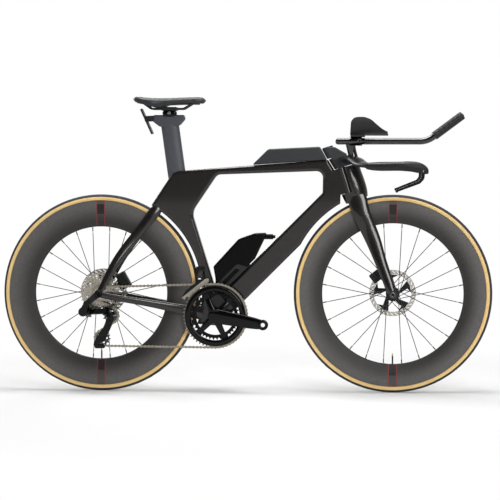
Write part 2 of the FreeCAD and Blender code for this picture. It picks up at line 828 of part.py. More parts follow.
def toothed(teeth, thickness, phase):
    """Toothed disc about Y: roller seats on the pitch circle, straight flanks and narrow tips."""
    pitch = pitch_radius(teeth)
    step = 2 * math.pi / teeth
    seat = size("seat_radius")
    tip = pitch + size("tooth_height")
    half_tip = size("tooth_tip") / tip
    low = -thickness / 2
    edges = []
    for index in range(int(teeth)):
        angle = phase + index * step
        turn = Rotation(Y, -math.degrees(angle))
        first, bottom, last = (turn.multVec(Vector(pitch - seat * math.cos(bend), low,
                                                   seat * math.sin(bend)))
                               for bend in (-math.pi / 3, 0, math.pi / 3))
        rise = on_wheel(tip, angle + step / 2 - half_tip, low)
        fall = on_wheel(tip, angle + step / 2 + half_tip, low)
        following = Rotation(Y, -math.degrees(step)).multVec(first)
        edges.append(Part.Arc(first, bottom, last).toShape())
        edges.append(Part.LineSegment(last, rise).toShape())
        edges.append(Part.LineSegment(rise, fall).toShape())
        edges.append(Part.LineSegment(fall, following).toShape())
    return Part.Face(Part.Wire(edges)).extrude(Y * thickness)


def disc(radius, thickness, middle=0.0):
    return Part.makeCylinder(radius, thickness, Y * (middle - thickness / 2), Y)


def cassette():
    """Freehub, twelve sprockets with windows in the large ones, spacers between them and a lockring."""
    thick = size("cog_thickness")
    gap = size("cog_spacing")
    bore = size("freehub_radius") + size("cog_bore_gap")
    solids = []
    for index, teeth in enumerate(COG_TEETH):
        phase = pin_angle(REAR, 0) if index == 0 else math.pi / 2
        cog = toothed(teeth, thick, phase).cut(disc(bore, 2 * thick))
        root = pitch_radius(teeth) - size("seat_radius")
        if root - 4 > size("spacer_radius") + 7:
            low, high = size("spacer_radius") + 3, root - 4
            windows = []
            for turn in range(6):
                middle = turn * math.pi / 3 + 0.15 * index
                corners = [(on_wheel(low, middle - 0.3, -thick), 1),
                           (on_wheel(high, middle - 0.36, -thick), 2),
                           (on_wheel(high * 1.06, middle, -thick),
                            8), (on_wheel(high, middle + 0.36, -thick), 2),
                           (on_wheel(low, middle + 0.3, -thick), 1)]
                windows.append(Part.Face(rounded_wire(corners)).extrude(Y * (2 * thick)))
            cog = cog.cut(Part.makeCompound(windows))
        cog.translate(Y * (COG_Y + gap * index))
        solids.append(cog)
        if index:
            spacer = disc(size("spacer_radius"), gap - thick, COG_Y + gap * (index - 0.5))
            solids.append(spacer.cut(disc(bore, 2 * gap, COG_Y + gap * (index - 0.5))))
    last = COG_Y + gap * (len(COG_TEETH) - 1)
    start = COG_Y - thick / 2
    stop = last + thick / 2 + 1
    freehub = disc(size("freehub_radius"), stop - start, (start + stop) / 2)
    freehub = freehub.fuse(disc(size("spacer_radius"), 1, stop - 0.5))
    freehub = freehub.cut(disc(size("hub_axle_radius") + size("running_gap"), 200))
    solids.append(freehub)
    lock = disc(size("spacer_radius"), 2.0, start - 1.0).cut(disc(size("hub_axle_radius") + 2.5, 20, start))
    solids.append(lock)
    group = Part.makeCompound(solids)
    group.translate(REAR)
    return shaped("cassette", group)


CRANK_TURN = math.radians(-size("crank_drop_angle"))
SPIDER = [math.radians(bend) for bend in (56, 124, -124, -56)]
SPIDER_SEAT = RING_Y - size("ring_thickness") / 2


def crank_place(radius, bend, along):
    """Place on the crankset, with the angle measured from the right crank arm."""
    return BB + on_wheel(radius, CRANK_TURN + bend, along)


def ring_tab(middle, outward, high, wide):
    """Tab of a chainring round one spider bolt, from the bolt out to the ring."""
    across = outward.cross(Y)
    low, narrow, thick = 8, 8, size("ring_thickness")
    corners = [(middle - outward * low - across * narrow, 5), (middle + outward * high - across * wide, 1),
               (middle + outward * high + across * wide, 1), (middle - outward * low + across * narrow, 5)]
    tab = Part.Face(rounded_wire(corners)).extrude(Y * thick)
    tab.translate(Y * (-thick / 2))
    hole = disc(size("ring_bolt_radius") + size("running_gap"), 4 * thick).translated(middle)
    return tab.cut(hole)


def chainrings():
    """Two toothed rings: the outer one has a broad smooth face; four bolts hold them on the spider."""
    thick, gap = size("ring_thickness"), size("ring_spacing")
    face_deep, face_step = 4.2, 0.6
    face = disc(size("ring_face_radius"), face_deep, -face_step)
    face = face.cut(disc(size("ring_face_radius"), 2 * face_step, 1.0))
    outer = toothed(size("ring_teeth"), thick, pin_angle(BB, 2)).fuse(face)
    outer = outer.cut(disc(size("ring_opening"), 20))
    small = toothed(size("small_ring_teeth"), thick, math.pi / 2).cut(disc(size("small_ring_opening"), 20))
    bolts, tabs, small_tabs = [], [], []
    for bend in SPIDER:
        outward = on_wheel(1, CRANK_TURN + bend, 0)
        middle = outward * size("ring_bolt_circle")
        tabs.append(ring_tab(middle, outward, 18, 14))
        small_tabs.append(ring_tab(middle, outward, 4, 12))
        shank = bar(size("ring_bolt_radius"), middle - Y * (thick / 2 + size("spider_tip")),
                    middle + Y * (gap + thick / 2))
        head = bar(size("ring_bolt_head"), middle + Y * (gap + thick / 2),
                   middle + Y * (gap + thick / 2 + 1.5))
        bolts.append(shank.fuse(head))
    outer = outer.multiFuse(tabs).removeSplitter()
    small = small.multiFuse(small_tabs).removeSplitter()
    small.translate(Y * gap)
    group = Part.makeCompound([outer, small] + bolts)
    group.translate(BB + Y * RING_Y)
    return shaped("chainrings", group)


def crank_arm(hand, bend):
    """Tapered hollow-forged arm from the spindle boss to the drilled pedal eye."""
    half_boss = size("crank_boss_width") / 2
    middle = SPIDER_SEAT - size("spider_tip") - 7 if hand == RIGHT else size("left_crank_inset") + 7
    eye_y = hand * size("pedal_eye_offset")
    outward = on_wheel(1, CRANK_TURN + bend, 0)
    across = outward.cross(Y)
    stations = [(0, 22, 7, middle), (45, 17, 7.5, middle + hand * 2), (110, 14.5, 7, eye_y - hand * 3),
                (size("crank_length") - 14, 14, 6.5, eye_y)]
    arm = loft([oval(BB + outward * reach + Y * along, across * high, Y * deep)
                for reach, high, deep, along in stations])
    eye = BB + outward * size("crank_length") + Y * eye_y
    half_eye = size("pedal_eye_width") / 2
    arm = arm.fuse(bar(size("pedal_eye_radius"), eye - Y * half_eye, eye + Y * half_eye))
    arm = arm.fuse(bar(size("crank_boss_radius"), BB + Y * (middle - half_boss),
                       BB + Y * (middle + half_boss)))
    thread = bar(size("pedal_thread_radius"), eye - Y * 30, eye + Y * 30)
    return arm, thread


def spider_legs():
    """Four legs from the spindle boss to the chainring bolts."""
    legs = []
    for bend in SPIDER:
        outward = on_wheel(1, CRANK_TURN + bend, 0)
        across = outward.cross(Y)
        stations = ((5, 15, 6, 11), (40, 11, 5, 8.5), (64, 9.5, 3.6, 4.2))
        legs.append(loft([oval(BB + outward * reach + Y * (SPIDER_SEAT - back), across * high, Y * deep)
                          for reach, high, deep, back in stations]))
        tip = crank_place(size("ring_bolt_circle"), bend, SPIDER_SEAT)
        legs.append(bar(9.5, tip - Y * size("spider_tip"), tip))
    return legs


def cranks():
    """Right arm with its four-arm spider, left arm, the spindle between them and the power meter pod."""
    spindle_start = BB + Y * (RING_Y - size("spindle_end"))
    spindle_stop = BB + Y * size("pedal_eye_offset")
    spindle = bar(size("spindle_radius"), spindle_start, spindle_stop)
    room = bar(size("spindle_radius"), spindle_start, spindle_stop + Y)
    arm, thread = crank_arm(RIGHT, 0)
    bolt_holes = []
    for bend in SPIDER:
        tip = crank_place(size("ring_bolt_circle"), bend, SPIDER_SEAT)
        bolt_holes.append(bar(size("ring_bolt_radius"), tip - Y * size("spider_tip"), tip + Y * 50))
    ring_room = disc(200, 40, SPIDER_SEAT + 20).cut(disc(30, 60, SPIDER_SEAT + 20)).translated(BB)
    cutters = bolt_holes + [thread, room, ring_room]
    shaped("right_crank_arm", arm.multiFuse(spider_legs()).cut(Part.makeCompound(cutters)))
    arm, thread = crank_arm(LEFT, math.pi)
    shaped("left_crank_arm", arm.cut(Part.makeCompound([thread, room])))
    hollow = bar(size("spindle_radius") - size("spindle_wall"), spindle_start + Y * 4, spindle_stop + Y)
    shaped("crank_spindle", spindle.cut(hollow))
    pod_angle, pod_deep = math.radians(91), 9
    corners = [(38, 0.62, 6), (38, -0.62, 6), (62, -0.42, 8), (76, 0, 14), (62, 0.42, 8)]
    pod = plate([(crank_place(reach, pod_angle + bend, 0), bow) for reach, bend, bow in corners], pod_deep,
                RING_Y + 1)
    shaped("power_meter", pod.cut(made("right_crank_arm", "chainrings")))


def pulley(label, centre, part):
    """Toothed pulley wheel with its bearing bush and five windows."""
    thick = size("pulley_thickness")
    wheel = toothed(size("pulley_teeth"), thick, pin_angle(centre, part))
    wheel = wheel.fuse(disc(9, 5.6)).cut(disc(PULLEY_BOLT + size("running_gap"), 20))
    windows = [Part.makeCylinder(3.4, 10, on_wheel(15, turn * 2 * math.pi / 5, -5), Y) for turn in range(5)]
    wheel = wheel.cut(Part.makeCompound(windows))
    wheel.translate(centre + Y * COG_Y)
    return shaped(label, wheel)


# Frame

def bracket_shell():
    """Solid form of the bottom bracket shell."""
    return disc(size("bb_shell_radius"), size("bb_shell_width")).translated(BB)


def main_frame():
    """Moulded aero frame: side outline with its triangle, rounded edges, head tube, bottom bracket shell
    and bores."""
    lean = math.radians(size("down_tube_angle"))
    down, up = at(math.cos(lean), math.sin(lean)), at(-math.sin(lean), math.cos(lean))
    lower = BB - up * size("down_tube_offset")
    upper = lower + up * size("down_tube_depth")
    mast = math.radians(size("seat_tube_angle"))
    seat_dir, seat_ahead = at(-math.cos(mast), math.sin(mast)), at(math.sin(mast), math.cos(mast))
    seat_front = BB + seat_ahead * size("seat_tube_front")
    seat_top = BB + at(-size("seat_top_setback"), size("seat_top_height"))
    rear_arc = size("tyre_radius") + size("rear_wheel_gap")
    front_arc = size("tyre_radius") + size("front_wheel_gap")
    rear_low = REAR + at(math.sqrt(rear_arc ** 2 - (REAR.z - BB.z + size("bb_boss_depth") - 6) ** 2),
                         BB.z - REAR.z - size("bb_boss_depth") + 6)
    stay_angle = math.radians(size("stay_root_angle"))
    rear_high = REAR + at(math.cos(stay_angle), math.sin(stay_angle)) * rear_arc
    stay_back = rear_high + at(-37, 26)
    reach = (FRONT - lower).dot(down)
    drop = (FRONT - lower).dot(up)
    arc_start = lower + down * (reach - math.sqrt(front_arc ** 2 - drop ** 2))
    crown_back = HEAD_LOW - AHEAD * 28
    crown_angle = math.atan2(308.3, -180)
    arc_stop = FRONT + at(math.cos(crown_angle), math.sin(crown_angle)) * front_arc
    arc_bend = (crown_angle + math.atan2(arc_start.z - FRONT.z, arc_start.x - FRONT.x)) / 2
    arc_middle = FRONT + at(math.cos(arc_bend), math.sin(arc_bend)) * front_arc
    top_front = HEAD_TOP + at(-44, 27.5)
    boss = crossing(lower, down, BB - Z * size("bb_boss_depth"), X)
    rear_bend = (stay_angle + math.atan2(rear_low.z - REAR.z, rear_low.x - REAR.x)) / 2
    rear_middle = REAR + at(math.cos(rear_bend), math.sin(rear_bend)) * rear_arc
    shoulder = stay_back + at(60, 91)
    path = [shoulder, seat_top + at(-22, -8), seat_top + at(0, 0.4), seat_top + at(31, 3), top_front,
            HEAD_TOP - AHEAD * 24, HEAD_TOP, HEAD_LOW, crown_back, arc_stop]
    edges = [Part.LineSegment(a, b).toShape() for a, b in zip(path, path[1:])]
    edges.append(Part.Arc(arc_stop, arc_middle, arc_start).toShape())
    edges.append(Part.LineSegment(arc_start, boss).toShape())
    edges.append(Part.LineSegment(boss, rear_low).toShape())
    edges.append(Part.Arc(rear_low, rear_middle, rear_high).toShape())
    edges.append(Part.LineSegment(rear_high, stay_back).toShape())
    edges.append(Part.LineSegment(stay_back, shoulder).toShape())
    side = Part.Face(Part.Wire(edges))
    top_line = (top_front - (seat_top + at(31, 3))).normalize()
    under = crossing(HEAD_TOP - AHEAD * 62, STEER, top_front - Z * size("top_tube_front_depth"), top_line)
    mast_top = seat_top + at(133, 12 - size("top_tube_rear_depth"))
    knee = crossing(seat_front, seat_dir, BB + Z * 353.5, X)
    corners = [(mast_top, 24), (under, 22), (crossing(upper, down, HEAD_LOW - AHEAD * 85, STEER), 10),
               (crossing(upper, down, seat_front, seat_dir), 14), (knee, 50)]
    side = side.cut(Part.Face(rounded_wire(corners)))
    half = size("frame_width") / 2
    side.translate(Y * -half)
    body = side.extrude(Y * (2 * half))
    edge_radius = size("frame_edge_radius")

    def outer_edge(edge):
        flat = all(abs(abs(vertex.Y) - half) < 1e-6 for vertex in edge.Vertexes)
        level = abs(edge.Vertexes[0].Y - edge.Vertexes[-1].Y) < 1e-6
        middle = edge.CenterOfMass
        joint = any((at(middle.x, middle.z) - spot).Length < 1 for spot in
                    ((rear_high + stay_back) * 0.5, (HEAD_TOP + HEAD_LOW) * 0.5,
                     (crown_back + HEAD_LOW) * 0.5,
                     (crown_back + arc_stop) * 0.5, HEAD_TOP - AHEAD * 12))
        return flat and level and not joint

    body = soften(body, edge_radius, outer_edge)
    head = bar(size("head_tube_radius"), HEAD_LOW, HEAD_TOP)
    body = body.multiFuse([head, bracket_shell()])
    cuts = [bar(size("headset_bearing_radius") - 2, HEAD_LOW - STEER, HEAD_TOP + STEER)]
    for seat, inward in ((HEAD_LOW, STEER), (HEAD_TOP, -STEER)):
        cuts.append(bar(size("headset_bearing_radius"), seat - inward,
                        seat + inward * size("headset_bearing_width")))
    cuts.append(Part.makeCylinder(size("bb_bearing_radius") + 2.5, 200, BB - Y * 100, Y))
    foot_room = 3
    cuts.append(seatpost_form(size("seatpost_gap"), size("seat_travel") + foot_room))
    return shaped("main_frame", body.cut(Part.makeCompound(cuts)).removeSplitter())


def seatpost_line():
    """Centre of the seatpost where it leaves the frame, and its direction up."""
    lean = math.radians(size("seatpost_lean"))
    return BB + at(-size("seat_top_setback") - 9.5, size("seat_top_height")), at(-math.sin(lean),
                                                                                 math.cos(lean))


def seatpost_form(gap, deeper=0.0):
    """Aero oval tube, grown by a gap, from its foot in the frame, or deeper, up to its head."""
    foot, rise = seatpost_line()
    back = rise.cross(Y)
    wide = Y * (size("seatpost_width") / 2 + gap)
    long = back * (size("seatpost_chord") / 2 + gap)
    depth = size("seatpost_insert") + deeper
    wire = oval(foot - rise * (depth + gap), long, wide)
    return Part.Face(wire).extrude(rise * (depth + size("seatpost_reach")))


def stay(stations):
    """Oval stay through (place, half depth, half thickness) stations, each square to its run."""
    wires = []
    places = [station[0] for station in stations]
    for index, (place, deep, thick) in enumerate(stations):
        run = places[min(index + 1, len(places) - 1)] - places[max(index - 1, 0)]
        across = Vector(run.z, 0, -run.x).normalize()
        wires.append(oval(place, across * deep, Y * thick))
    return loft(wires)


def rear_end():
    """Seat stays as a wishbone over the tyre, and chain stays that end in the dropouts."""
    half = size("rear_hub_length") / 2
    thick = size("dropout_thickness")
    middle = half + thick / 2
    wheel_room = disc(size("tyre_radius") + size("rear_wheel_gap"),
                      2 * size("stay_clearance")).translated(REAR)
    frame = made("main_frame")
    drop = Part.makeCylinder(size("dropout_radius"), thick, REAR + Y * half, Y)
    chain_side = stay([(BB + at(-44, 6, 24), 24, 9), (BB + at(-104, 17, 28), 19, 8),
                       (BB + at(-226, 42, 47), 13, 7),
                       (REAR + at(62, -14, 67), 11, 6), (REAR + at(10, -3, middle), 10, thick / 2 - 0.2)])
    bore = Part.makeCylinder(size("thru_axle_radius") + size("running_gap"), 300, REAR - Y * 150, Y)
    hub_room = disc(200, 2 * half).translated(REAR).common(Part.makeBox(30, 2 * half, 60,
                                                                        REAR - Vector(30, half, 30)))
    lower = chain_side.fuse(drop)
    cutters = [wheel_room, bore, frame, bracket_shell(), hub_room]
    pair = [lower, mirrored(lower)]
    chain_stays = [piece.cut(Part.makeCompound(cutters)) for piece in pair]
    shaped("chain_stays", Part.makeCompound([largest(piece) for piece in chain_stays]))
    stay_angle = math.radians(size("stay_root_angle"))
    rear_arc = size("tyre_radius") + size("rear_wheel_gap")
    root = REAR + at(math.cos(stay_angle), math.sin(stay_angle)) * rear_arc + at(-18.5, 13)
    seat_side = stay([(root + at(4, 6, 10), 22, 10), (root + at(-10, -14, 15), 21, 11),
                      (root + at(-37, -50, 25), 18, 7),
                      (REAR + at(76, 136, 51), 15, 6), (REAR + at(35, 66, 67), 13,
                                                        5.5), (REAR + at(4, 8, middle), 10, 4)])
    least_leg = 5000
    upper = seat_side.fuse(mirrored(seat_side))
    upper = upper.cut(Part.makeCompound([wheel_room, bore, frame] + pair + [hub_room]))
    legs = [solid for solid in upper.Solids if solid.Volume > least_leg]
    shaped("seat_stays", Part.makeCompound(legs))


def frame_bearings():
    """Headset bearings, and the bottom bracket's cups with their bearings."""
    rings = []
    for name, start, inward in (("lower", HEAD_LOW, STEER), ("upper", HEAD_TOP, -STEER)):
        loop = ring("dims.steerer_radius + dims.running_gap", "dims.headset_bearing_radius", "0",
                    "dims.headset_bearing_width")
        rings.append(turned_body(name + "_headset_bearing", [loop], start, inward))
    grouped("headset_bearings", rings)
    pieces = []
    half = "dims.bb_shell_width / 2"
    for name, axis in (("left", Y), ("right", -Y)):
        cup = [
            ("dims.bb_bearing_radius", f"{half} - 12"), ("dims.bb_bearing_radius + 2.5", f"{half} - 12"),
            ("dims.bb_bearing_radius + 2.5", half), ("dims.bb_bearing_radius + 4", half),
            ("dims.bb_bearing_radius + 4", f"{half} + 1.5"), ("dims.bb_bearing_radius", f"{half} + 1.5"),
        ]
        pieces.append(turned_body(name + "_bb_cup", [cup], BB, axis))
        loop = ring("dims.spindle_radius + dims.running_gap", "dims.bb_bearing_radius",
                    f"{half} - dims.bb_bearing_width", half)
        pieces.append(turned_body(name + "_bb_bearing", [loop], BB, axis))
    grouped("bottom_bracket", pieces)


# Steering

def steer_at(ahead, height, across=0.0):
    """Place in the steering frame: ahead of the steering axis, up along it, and across."""
    return STEER_FOOT + AHEAD * ahead + STEER * height + Y * across


def fairing_sections(stations):
    """Ovals square to the steering axis, from (height, centre, half length, half width)."""
    return [oval(steer_at(centre, height), AHEAD * long, Y * wide) for height, centre, long,
            wide in stations]


def fork():
    """Fork with two blades, a crown over the tyre and a fairing that wraps the front of the head tube."""
    low = size("crown_height")
    top = low + size("head_tube_length")
    wide = size("fairing_half_width")
    reach = size("fairing_reach")
    nose = loft(fairing_sections([(low - 40, 19, reach - 27, wide - 1), (low - 9, reach - 44, 44, wide),
                                  (low + 40, reach - 45, 45, wide), (top - 0.5, reach - 45, 45, wide)]))
    stations = [(low - 18, 20, 34, 21, 8), (low - 60, 22, 31, 26, 7.5), (243, 28, 28, 29, 7),
                (187, 34, 25, 33, 6.5),
                (116, 37, 20, 42, 6.5), (67, 40, 18, 48.5, 6.2), (24, 42.5, 15.5, 55, 5.5), (4, 44, 13,
                                                                                             56.5, 5)]
    blade = loft([oval(steer_at(centre, height, along), AHEAD * long, Y * thick)
                  for height, centre, long, along, thick in stations])
    half = size("front_hub_length") / 2
    end = Part.makeCylinder(size("dropout_radius"), 12, FRONT + Y * half, Y)
    leg = blade.fuse(end)
    body = nose.multiFuse([leg, mirrored(leg)])
    tyre_room = disc(size("tyre_radius") + size("fork_tyre_gap"),
                     2 * size("stay_clearance")).translated(FRONT)
    hub_room = disc(24, 2 * half).translated(FRONT)
    axle_hole = disc(size("thru_axle_radius") + size("running_gap"), 300).translated(FRONT)
    cavity = bar(size("head_tube_radius") + size("fairing_gap"), HEAD_LOW - STEER * 0.8,
                 HEAD_TOP + STEER * 20)
    behind = Part.makeBox(200, 200, 200)
    behind.Placement = Placement(steer_at(12, low - 0.8, 100), Rotation(AHEAD * -1, Vector(), STEER, "ZXY"))
    body = body.cut(Part.makeCompound([tyre_room, hub_room, axle_hole, cavity])).cut(behind)
    body = largest(body)
    steerer = bar(size("steerer_radius"), HEAD_LOW - STEER * 0.8, HEAD_TOP + STEER * 30)
    return shaped("fork", Part.makeCompound([body, steerer]))


BAR_GAP = 0.8
BAR_LEVEL = 797
HORN_LEVEL = 776
LEVER_PIVOT = at(600, 760)


def base_bar():
    """Aero base bar: stem over the head tube, swept wings and forward horns."""
    top = size("crown_height") + size("head_tube_length") + BAR_GAP
    wide = size("fairing_half_width")
    stem = loft(fairing_sections([(top, size("fairing_reach") - 45, 45, wide), (top + 14, 17, 43, wide + 1),
                                  (top + 34, 14, 36, wide - 5)]))
    behind = Part.makeBox(200, 200, 200)
    behind.Placement = Placement(steer_at(0, top - 5, 100), Rotation(AHEAD * -1, Vector(), STEER, "ZXY"))
    below = Part.makeBox(200, 2 * wide + 6, 40)
    below.Placement = Placement(steer_at(100, top - 40, wide + 3),
                                Rotation(AHEAD * -1, Vector(), STEER, "ZXY"))
    rear = bar(size("head_tube_radius") + 1, HEAD_TOP + STEER * BAR_GAP, HEAD_TOP + STEER * (BAR_GAP + 30))
    reach = size("base_bar_width") / 2
    stations = [(reach - 12, 424, 777, 17, 11), (reach - 45, 408, 780, 24, 8.5), (90, 384, 789, 27, 9.5),
                (45, 370, BAR_LEVEL, 31, 11), (0, 362, BAR_LEVEL, 36, 12)]
    stations += [(-across, *rest) for across, *rest in reversed(stations[:-1])]
    wing = loft([oval(at(x, z, across), X * long, Z * high) for across, x, z, long, high in stations])
    horns = []
    for hand in (RIGHT, LEFT):
        run = [(412, reach - 12, 777, 6, 10), (436, reach - 12, 776, 14, 13.5),
               (480, reach - 4, 776, 14.5, 15),
               (541, reach, HORN_LEVEL, 15, 16)]
        horns.append(loft([oval(at(x, z, hand * across), Y * half, Z * high) for x, across, z, half,
                           high in run]))
    body = stem.cut(behind).multiFuse([rear, wing] + horns)
    steerer = bar(size("steerer_radius"), HEAD_LOW, HEAD_TOP + STEER * 30)
    return shaped("base_bar", body.cut(Part.makeCompound([steerer, below])))


def brake_levers():
    """Lever brackets on the horns, and the two levers on their pivots."""
    reach = size("base_bar_width") / 2
    slot_half = size("lever_width") / 2 + size("loose_gap")
    brackets = []
    run = [(541, 0, 15, 16), (566, 1, 15.5, 17.5), (594, 7, 14.5, 18), (610, 13, 12, 14), (618, 17, 8.5, 8)]
    corners = [(at(593, 762), 6), (at(600, 767), 6), (at(607.5, 762), 6), (at(604, 734), 16),
               (at(590, 719), 16),
               (at(514, 691), 3.5), (at(511, 698), 3.5), (at(586, 728), 14), (at(594, 740), 14)]
    eye_room, pin_half, tip_radius = 8.6, 9.5, 5
    for hand, name in ((RIGHT, "right"), (LEFT, "left")):
        side = hand * reach
        hood = loft([oval(at(x, HORN_LEVEL - drop, side), Y * half, Z * high) for x, drop, half,
                     high in run])
        pivot = LEVER_PIVOT + Y * side
        slot = Part.makeBox(46, 2 * slot_half, 30, pivot + Vector(-18, -slot_half, -22))
        room = disc(eye_room, 2 * slot_half).translated(pivot)
        pin_hole = disc(size("lever_pin_radius") + size("running_gap"), 40).translated(pivot)
        brackets.append(largest(hood.cut(Part.makeCompound([slot, room, pin_hole]))))
        blade = plate(corners, size("lever_width"), side)
        tip = disc(tip_radius, size("lever_width")).translated(at(513.5, 694, side))
        pin = disc(size("lever_pin_radius"), 2 * pin_half).translated(pivot)
        shaped(name + "_brake_lever", blade.multiFuse([tip, pin]))
    shaped("lever_brackets", Part.makeCompound(brackets))


def extension_line(hand):
    """Rear end, corner and tip of one extension's centre line."""
    across = hand * size("extension_spacing") / 2
    bend = math.radians(size("extension_bend"))
    corner = at(618, size("extension_height"), across)
    rise = at(math.cos(bend), math.sin(bend))
    return at(306, size("extension_height"), across), corner, corner + rise * size("extension_tip")


def bent_bar(hand, radius):
    """Round bar along an extension: straight, one tangent bend, straight."""
    start, corner, tip = extension_line(hand)
    turn = math.radians(size("extension_bend"))
    reach = size("extension_bend_radius") * math.tan(turn / 2)
    rise = (tip - corner).normalize()
    entry, leave = corner - X * reach, corner + rise * reach
    crest = corner + (rise - X).normalize() * (size("extension_bend_radius") * (1 / math.cos(turn / 2) - 1))
    path = Part.Wire([Part.LineSegment(start, entry).toShape(), Part.Arc(entry, crest, leave).toShape(),
                      Part.LineSegment(leave, tip).toShape()])
    return path.makePipeShell([Part.Wire(Part.Circle(start, X, radius).toShape())], True, True)


def extensions():
    """Extensions with their grips, the pods at the tips and a push button in each pod."""
    bars, grips = [], []
    grip, pod_length = size("grip_radius"), size("pod_length")
    for hand, name in ((RIGHT, "right"), (LEFT, "left")):
        tail, corner, tip = extension_line(hand)
        rise = (tip - corner).normalize()
        tube = bent_bar(hand, size("extension_radius"))
        bars.append(soften(tube, size("extension_radius") - 2, closed_at(tail)))
        sleeve = bar(grip, corner + rise * size("grip_start"), tip)
        grips.append(sleeve.cut(bar(size("extension_radius"), corner, tip)))
        end = tip + rise * pod_length
        pod = soften(bar(grip, tip, end), 4, closed_at(end))
        well = bar(size("button_radius") + size("loose_gap"), tip + rise * 6, end + rise * pod_length)
        grips.append(pod.cut(well))
        face = tip + rise * 12
        button = soften(bar(size("button_radius"), tip + rise * 7.5, face), 1, closed_at(face))
        shaped(name + "_shift_button", button)
    shaped("extensions", Part.makeCompound(bars))
    shaped("extension_grips", Part.makeCompound(grips))


def riser():
    """Riser post on the stem, and the bridge whose two rings clamp the extensions."""
    level = size("extension_height")
    across = size("extension_spacing") / 2
    post = loft([oval(at(x, z), X * long, Y * wide)
                 for x, z, long, wide in ((369, 800, 17, 13), (362, 826, 16, 12),
                                          (356, level - 8, 17, 16))])
    bridge = loft([oval(at(x, z, side), X * long, Z * high)
                   for x, z, side, long, high in ((372, level, -across, 17, 10), (366, level - 4, 0, 20, 9),
                                                  (372, level, across, 17, 10))])
    rings, holes = [], []
    for hand in (RIGHT, LEFT):
        rings.append(bar(size("extension_radius") + size("clamp_wall"), at(354, level, hand * across),
                         at(396, level, hand * across)))
        holes.append(bar(size("extension_radius"), at(300, level, hand * across),
                         at(500, level, hand * across)))
    body = post.multiFuse([bridge] + rings).cut(Part.makeCompound(holes))
    return shaped("riser_post", body.cut(made("base_bar")))


def arm_rests():
    """Arm cups with a tall outer wall on outriggers above the clamp rings, and their soft pads."""
    level = size("extension_height") + size("extension_radius") + size("clamp_wall")
    radius, wall = size("arm_cup_radius"), size("arm_cup_wall")
    foot_deep, side_deep, below = 5, 90, level - 20
    outer_side = [(at(355, below), 3), (at(361, level + 65), 24), (at(413, level + 66), 44),
                  (at(486, level + 8), 5), (at(482, below), 3)]
    inner_side = [(at(372, below), 3), (at(376, level + 22), 10), (at(470, level + 12), 8),
                  (at(466, below), 3)]
    cups, pads = [], []
    for hand in (RIGHT, LEFT):
        across = hand * size("arm_rest_spacing") / 2
        centre = level + foot_deep + radius
        start, stop = at(340, centre, across), at(500, centre, across)
        trim = plate(outer_side, side_deep, across + hand * side_deep / 2)
        trim = trim.fuse(plate(inner_side, side_deep, across - hand * side_deep / 2))
        room = bar(radius - wall, start, stop)
        cup = bar(radius, start, stop).cut(room).common(trim)
        foot = Part.makeBox(48, 62, foot_deep + wall, at(358, level, across - hand * 22 - 31)).cut(room)
        cups.append(largest(cup.fuse(foot)))
        soft = bar(radius - wall - size("loose_gap"), start, stop)
        soft = soft.cut(bar(radius - wall - size("arm_pad_depth"), start, stop)).common(trim)
        pads.append(largest(soft))
    shaped("arm_rests", Part.makeCompound(cups))
    shaped("arm_pads", Part.makeCompound(pads))


def upper_edge(width, level):
    """Test that picks the edges round both flat sides of a plate, above a level."""
    return lambda edge: abs(abs(edge.CenterOfMass.y) - width / 2) < 1e-6 and edge.CenterOfMass.z > level


def boxes():
    """Storage box with its lid on the top tube, and the nose box behind the riser on the stem."""
    wide = size("storage_box_width")
    side = [(at(20, 780.2), 3), (at(76, 835), 16), (at(252, 843), 9), (at(262, 826), 6),
            (at(277, 797.2), 2)]
    body = soften(plate(side, wide), 6, upper_edge(wide, 800)).cut(made("main_frame"))
    lid_room = [(at(60, 826), 0.1), (at(60, 900), 0.1), (at(300, 900), 0.1), (at(300, 836), 0.1)]
    lid_room = plate(lid_room, 2 * wide)
    shaped("storage_box", Part.makeCompound([body.cut(lid_room), body.common(lid_room)]))
    wide = size("nose_box_width")
    side = [(at(272, 829), 4), (at(276, 843.5), 5), (at(303, 842), 12), (at(345, 818), 3),
            (at(337, 796), 3),
            (at(296, 796), 3)]
    cover = soften(plate(side, wide), 5, upper_edge(wide, 805))
    shaped("nose_box", largest(cover.cut(made("base_bar", "riser_post", "fork"))))


def calipers():
    """Two-pad calipers over the rotors, one behind the left fork blade and one on the left chain stay."""
    seats = (("front", FRONT, math.radians(128), "fork"), ("rear", REAR, math.radians(29), "chain_stays"))
    gap = size("rotor_thickness") / 2 + 0.5
    inner = size("rotor_radius") - size("rotor_band") - 1
    pad_half, pad_thick, pad_play = 15, 4, 0.2
    for side, centre, angle, mount in seats:
        middle = centre + Y * (size(f"{side}_hub_length") / 2 - size("rotor_inset"))
        outward = on_wheel(1, angle, 0)
        turn = Placement(middle, Rotation(outward, Y, outward.cross(-Y), "XYZ"))
        body = soften(Part.makeBox(36, 26, 58, Vector(inner - 2, -10, -29)), 5, lambda edge: True)
        slot = Part.makeBox(size("rotor_radius") + 6 - inner, 2 * gap, 80, Vector(inner - 4, -gap, -40))
        well = Part.makeBox(20, 2 * (gap + pad_thick), 2 * pad_half,
                            Vector(inner - 4, -gap - pad_thick, -pad_half))
        body = body.cut(Part.makeCompound([slot, well]))
        pads = [Part.makeBox(15.5, pad_thick, 2 * (pad_half - pad_play),
                             Vector(inner, start, pad_play - pad_half))
                for start in (gap, -gap - pad_thick)]
        pieces = [piece.transformGeometry(turn.toMatrix()) for piece in [body] + pads]
        pieces[0] = largest(pieces[0].cut(made(mount, "seat_stays")))
        shaped(side + "_caliper", Part.makeCompound(pieces))


# Seat

SEAT_BOLT = at(-264, 960)
RAIL_LEVEL = 972.5


